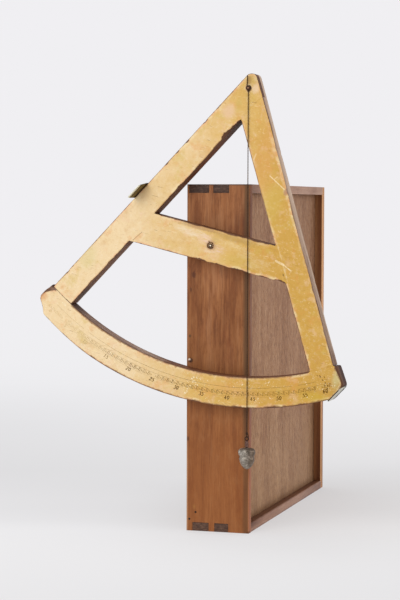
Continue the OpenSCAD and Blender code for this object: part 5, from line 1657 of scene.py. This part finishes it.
def plate(name, node, nails_node, v0, out_dir, hole_r, shift, w, drop, mat, seed):
    """Sight plate: a runs forward from its rear edge, b along the limb towards the apex. shift moves it down the limb."""
    d, h, t = PLATE_Y - Y_FACE + 20.0, w / 2, 1.0
    pts = arc_pts(4.5, -h + 4.5, 4.5, math.pi, 1.5 * math.pi, 0.4) + arc_pts(d - 2, -h + 2, 2, 1.5 * math.pi, 2 * math.pi, 0.35)
    pts += [(d, h - drop - 1.0), (d - 0.2, h - drop - 0.45), (d - 0.8, h - drop + 0.15), (11, h)] + arc_pts(4.5, h - 4.5, 4.5, 0.5 * math.pi, math.pi, 0.4)
    l = relax(closed_dense(pts, 0.7), 1, 0.4)
    l = dent_outline(l, seed, 0.05)
    nail_at = (-4.5, 4.5)
    holes = [circle_loop(PLATE_Y - Y_FACE + 10.0, shift, hole_r, 22)] + [circle_loop(PLATE_Y - NAIL_Y, p, 0.7, 16) for p in nail_at]
    v, f = solid([l] + holes, [(0.0, 0.14), (0.05, 0.04), (0.16, 0.0), (t - 0.16, 0.0), (t - 0.05, 0.04), (t, 0.14)], 1.6, 1.6)

    def at(u, n, y):
        return frame_place(np.stack([-u * S30 + n * C30, -u * C30 - n * S30, y], 1))

    def place(v):
        a, b, c = v[:, 0], v[:, 1], v[:, 2]
        free = np.clip((a - 12) / 20, 0, 1)
        c = c + 0.08 * np.array([nz(x * 0.12, y * 0.2, seed) for x, y in zip(a, b)]) * free
        return at(SIGHT_U + shift - b, v0 + out_dir * c, PLATE_Y - a)

    ob = make(name, place(v), f, mat, "sextant", [node], "brass", 40)
    # nails: a shank and a hammered round head
    verts, faces = [], []
    for i, p in enumerate(nail_at):
        prof = [(0, -7), (0.25, -6.6), (0.7, -5.2), (0.7, 0), (1.45, 0.0), (1.5, 0.12), (1.38, 0.28), (1.0, 0.37), (0.45, 0.4), (0, 0.4)]

        def pl(v, p=p):
            return at(SIGHT_U + shift - p + v[:, 1], v0 + out_dir * (t + v[:, 2]), NAIL_Y + v[:, 0])
        a, b = lathe(prof, 18, pl, lambda r, a_, t_: -0.05 * abs(nz(math.cos(t_) * 1.4 + i, math.sin(t_) * 1.4, seed)))
        faces += [tuple(x + len(verts) for x in q) for q in b]
        verts += list(a)
    make(name + "_nails", np.array(verts), faces, M_IRON, "sextant", [nails_node], "iron", 45)
    return ob


plate("upper_sight_plate", "pinhole_plate", "pinhole_plate_nails", -LEFT_OUT, -1, 0.5, 0.8, 20.0, 3.5, M_PLATE, 2.0)
plate("lower_sight_plate", "target_plate", "target_plate_nails", BEVEL, 1, 0.7, 1.3, 18.0, 2.4, M_PLATE2, 6.0)


def local_y(x, z):
    """Turned piece on the sextant whose axis runs along Y through the flat point x, z."""
    def fn(v):
        return frame_place(np.stack([x + v[:, 0], z + v[:, 1], v[:, 2]], 1))
    return fn


def plumb_pin():
    m = Mat("pin_brass", rough=0.55, metal=0.35, spec=0.4)
    v = m.obj()
    n = m.noise(v, 1.2, 3, 0.6)
    d = m.vmath("LENGTH", m.vmath("MULTIPLY", m.vmath("SUBTRACT", v, (APX, 0, APZ)), (1, 0, 1)), None, 1)
    c = m.ramp(n, [(0.36, srgb(40, 18, 10)), (0.5, srgb(60, 30, 18)), (0.66, srgb(96, 58, 36))])
    # painted highlight: a bright dot at the centre of the dark head
    c = m.mix(m.rng(d, 0.4, 0.8, 0.8, 0.0), c, srgb(204, 156, 116))
    prof = [(0, Y_LINE - 1.2), (0.7, Y_LINE - 1.19), (0.95, Y_LINE - 1.08), (1.75, Y_LINE - 0.95), (2.0, Y_LINE - 0.8), (1.95, Y_LINE - 0.62), (1.5, Y_LINE - 0.58), (1.5, Y_BACK - 1.15), (1.3, Y_BACK - 1.0), (0, Y_BACK - 1.0)]
    v, f = lathe(prof, 36, local_y(0, 0), lambda r, a, t: -0.04 * abs(nz(math.cos(t) * 1.2, math.sin(t) * 1.2, a * 0.3)))
    make("plumb_pin_turned", v, f, m.done(c, None, m.bump(n, 0.3, 0.0001)), "sextant", ["plumb_pin"], "brass", 40)


plumb_pin()


def apex_tie():
    r = [(2.1 * math.sin(math.radians(a)), Y_TIE, 2.1 * math.cos(math.radians(a))) for a in range(70, 271, 10)]
    tx, tz = TIE
    r += [(-2.25, Y_TIE, 2.6), (-2.75, Y_TIE, 6.2), (tx + 0.55, Y_TIE, tz - 1.1), (tx + 0.12, Y_TIE + 0.4, tz - 0.1), (tx, Y_TIE + 1.2, tz), (tx, Y_MID, tz),
          (tx, Y_BACK - 0.5, tz), (tx + 0.12, Y_BACK + 0.3, tz - 0.1), (tx + 0.5, Y_BACK + 0.7, tz - 0.9), (-2.6, Y_BACK + 0.7, 6.8), (-1.6, Y_BACK + 0.7, 3.6), (-1.6, Y_BACK + 0.7, 1.6)]
    path = frame_place(np.array([(p[0], p[2], p[1]) for p in r]))
    v, f = twine(path, THREAD_D, (0, 1, 0), lay=2.7, step=0.22, fuzz=0.05)
    make("apex_tie_twine", v, f, M_THREAD, "sextant", ["apex_tie"], "thread", 0, weld=0)


apex_tie()


def pivot_bolt():
    y0 = Y_WOOD
    head = [(0, y0 - 0.5), (0.95, y0 - 0.49), (1.25, y0 - 0.38), (1.4, y0 - 0.12), (1.55, y0 + 0.12), (2.2, y0 + 0.10), (2.7, y0 + 0.2), (2.95, y0 + 0.45), (3.0, y0 + 0.85), (2.85, y0 + 1.0), (1.75, y0 + 1.0)]
    shank = [(1.75, y0 + 1.4)] + [(1.75, y) for y in np.linspace(y0 + 4, -160, 5)]
    prof = head + shank
    y = -159.6
    while y < Y_FRONT + 8.7 + 10.0:
        prof += [(1.75, y), (1.58, y + 0.25)]
        y += 0.5
    prof += [(1.5, Y_FRONT + 8.7 + 10.3), (1.2, Y_FRONT + 8.7 + 10.5), (0, Y_FRONT + 8.7 + 10.5)]

    def shape(r, a, t):
        d = -0.05 * abs(nz(math.cos(t) * 1.5, math.sin(t) * 1.5, a * 0.5))
        if r < 1.5 and a < y0:   # square end of the rivet
            q = abs(((t + math.radians(10)) % (math.pi / 2)) - math.pi / 4)
            d -= r * 0.28 * (1 - q / (math.pi / 4)) ** 1.0 * 0.9
        return d
    v, f = lathe(prof, 48, along_y(PX, PZ), shape)
    m = Mat("bolt_iron", rough=0.45, metal=0.7, spec=0.5)
    v_ = m.obj()
    n = m.noise(v_, 0.9, 4, 0.62)
    rel = m.vmath("SUBTRACT", v_, (PX, 0, PZ))
    d = m.vmath("LENGTH", m.vmath("MULTIPLY", rel, (1, 0, 1)), None, 1)
    dn = m.math("ADD", d, m.math("MULTIPLY", m.math("SUBTRACT", n, 0.5), 0.9))
    c = m.ramp(n, [(0.36, srgb(98, 70, 48)), (0.5, srgb(134, 102, 72)), (0.66, srgb(172, 138, 104))])
    c = m.mix(m.rng(dn, 1.55, 2.1, 0.95, 0.0), c, srgb(44, 26, 14))
    # painted highlight: a bright spot at the centre of the head
    c = m.mix(m.rng(d, 0.62, 0.95, 0.97, 0.0), c, srgb(246, 232, 204))
    ob = make("pivot_bolt_turned", v, f, m.done(c, None, m.bump(n, 0.4, 0.00015)), "case", ["pivot_bolt"], "iron", 40)


pivot_bolt()


def washer(name, node, r, y0, y1, mat, slot="brass"):
    b = 1.8
    prof = rounded([(b, (y0 + y1) / 2), (b, y0), (r, y0), (r, y1), (b, y1), (b, (y0 + y1) / 2)], 3, 0.18)
    v, f = lathe(prof[:-1], 56, along_y(PX, PZ), None, close=False)
    make(name, v, f, mat, "case", [node], slot, 40)


washer("spacer_washer_turned", "spacer_washer", 9.0, -164.9, -163.0, M_PIN)
washer("inner_washer_turned", "inner_washer", 6.5, -154.3, -153.3, M_PIN)


def stud():
    x, z = -29.65, 172.9
    prof = [(0, -165.2 + 0.55)]
    prof = [(0, -163.4 - 1.3)]
    pts = []
    for i in range(0, 9):
        a = math.radians(90 - i * 10)
        pts.append((1.8 * math.cos(a), -162.9 - 1.8 * math.sin(a)))
    pts[0] = (0, pts[0][1])
    prof = pts + [(1.7, -163.4), (1.0, -163.4), (1.0, -158.2), (0.7, -158.0), (0, -158.0)]
    v, f = lathe(prof, 28, along_y(x, z), lambda r, a, t: -0.03 * abs(nz(math.cos(t) * 2, math.sin(t) * 2, a)))
    m = brass("stud_brass", [srgb(150, 120, 92), srgb(212, 186, 160), srgb(246, 230, 214)], 0.28)
    make("side_stud", v, f, m, "case", ["catch_stud"], "brass", 40)


stud()


def lid_pins():
    verts, faces = [], []
    for s in (1, -1):
        prof = [(0, 162.7), (0.8, 162.68), (1.08, 162.5), (1.1, 162.2), (1.1, 150.4), (0.8, 150.3), (0, 150.3)]
        v, f = lathe(prof, 22, lambda v, s=s: np.stack([-29.55 + v[:, 0], -s * v[:, 2], 11.8 + v[:, 1]], 1))
        faces += [tuple(x + len(verts) for x in q) for q in f]
        verts += list(v)
    make("lid_pins_cut", np.array(verts), faces, M_IRON, "case", ["lid_pivot_pins"], "iron", 40)


lid_pins()
dress("wing_nut", iron("wing_nut_iron", (70, 60, 52), (120, 92, 66), 0.45), 0.25, 2)


# ---------------------------------------------------------------- floor, light
def stage():
    m = Mat("studio_floor", rough=0.95, spec=0.0)
    tc = m.node("ShaderNodeTexCoord").outputs["Object"]
    # distance behind the object, and to its right
    back = m.vmath("DOT_PRODUCT", tc, (-0.2888, 0.9574, 0), 1)
    side = m.vmath("DOT_PRODUCT", tc, (0.9574, 0.2888, 0), 1)
    wob = m.noise(tc, 2.0, 2, 0.5)
    back = m.math("ADD", back, m.math("MULTIPLY", m.math("SUBTRACT", wob, 0.5), 0.03))
    # the floor glows with painted light and shade: lighter in front of the object, a band of painted shade just behind
    # it, lighter again further back
    stops = [(-0.48, 234), (-0.20, 241), (-0.15, 242), (-0.12, 240), (-0.09, 236), (-0.02, 232), (0.05, 232), (0.20, 230), (0.28, 229), (0.37, 231), (0.57, 234), (0.82, 236),
             (1.12, 237.5), (1.47, 238.5), (1.91, 239), (2.87, 239.4), (4.37, 239.8)]
    e_col = m.ramp(m.rng(back, -0.5, 4.5, 0.0, 1.0, "LINEAR"), [((a + 0.5) / 5, srgb(b, b - 0.6, b + 1.8)) for a, b in stops])
    # painted shading from side to side: close behind the object the right is darker, further back the left
    slope = m.math("MULTIPLY", m.rng(back, -0.05, 0.4, -0.10, 0.115), m.rng(back, 0.5, 1.9, 1.0, 0.0))
    side = m.math("MAXIMUM", m.math("MINIMUM", side, 0.6), -0.6)
    lean = m.math("ADD", m.math("MULTIPLY", side, slope), 1.0)
    e_col = m.mix(1.0, e_col, lean, "MULTIPLY")
    # all round, the floor runs out into the backdrop
    far = m.vmath("LENGTH", m.vmath("MULTIPLY", tc, (1, 1, 0)), None, 1)
    e_col = m.mix(m.rng(far, 1.6, 5.0), e_col, srgb(240, 239, 242))
    m.b.inputs["Base Color"].default_value = srgb(228, 227, 226)
    e = m.node("ShaderNodeEmission")
    m.put(e.inputs["Color"], e_col)
    mix = m.node("ShaderNodeMixShader")
    # the light's shade shows most close to the object's right side
    d = m.vmath("LENGTH", m.vmath("MULTIPLY", m.vmath("SUBTRACT", tc, (0.10, 0.0, 0)), (1, 0.6, 0)), None, 1)
    share = m.math("MAXIMUM", m.rng(back, 0.25, 1.5, 0.72, 1.0), 0.72)
    share = m.math("MAXIMUM", share, m.rng(far, 1.2, 3.5, 0.72, 1.0))
    share = m.math("SUBTRACT", share, m.rng(d, 0.08, 0.26, 0.22, 0.0))
    m.put(mix.inputs[0], share)
    m.t.links.new(m.b.outputs[0], mix.inputs[1])
    m.t.links.new(e.outputs[0], mix.inputs[2])
    out = m.t.nodes["Material Output"]
    m.t.links.new(mix.outputs[0], out.inputs["Surface"])
    me = bpy.data.meshes.new("floor")
    n, R = 96, 14.0
    vs = [(0, 0, 0)] + [(R * math.cos(2 * math.pi * i / n), R * math.sin(2 * math.pi * i / n), 0) for i in range(n)]
    me.from_pydata(vs, [], [(0, 1 + i, 1 + (i + 1) % n) for i in range(n)])
    fl = bpy.data.objects.new("floor", me)
    bpy.context.scene.collection.objects.link(fl)
    me.materials.append(m.m)

    w = bpy.data.worlds.new("studio")
    bpy.context.scene.world = w
    w.use_nodes = True
    bg = w.node_tree.nodes["Background"]
    lp = w.node_tree.nodes.new("ShaderNodeLightPath")
    mixc = w.node_tree.nodes.new("ShaderNodeMix")
    mixc.data_type = "RGBA"
    w.node_tree.links.new(lp.outputs["Is Camera Ray"], mixc.inputs[0])
    mixc.inputs[6].default_value = (0.56, 0.56, 0.57, 1)
    mixc.inputs[7].default_value = srgb(240, 239, 242)
    w.node_tree.links.new(mixc.outputs[2], bg.inputs["Color"])
    bg.inputs["Strength"].default_value = 1.0

    def light(name, loc, target, size, power, color=(1, 1, 1), sy=None):
        d = bpy.data.lights.new(name, "AREA")
        d.shape = "RECTANGLE"
        d.size, d.size_y = size, sy or size
        d.energy = power
        d.color = color
        o = bpy.data.objects.new(name, d)
        bpy.context.scene.collection.objects.link(o)
        o.location = loc
        o.rotation_mode = "QUATERNION"
        o.rotation_quaternion = (Vector(target) - Vector(loc)).to_track_quat("-Z", "Y")
        return o

    light("key", (-0.75, -2.5, 1.35), (0, -0.1, 0.25), 1.7, 27, (1, 0.985, 0.96))
    light("side", (2.3, 0.35, 0.9), (0, 0, 0.2), 1.4, 19)
    light("top", (0.0, 0.1, 2.6), (0, 0, 0.2), 1.8, 12)


stage()
sc = bpy.context.scene
sc.view_settings.view_transform = "Standard"
sc.view_settings.look = "None"
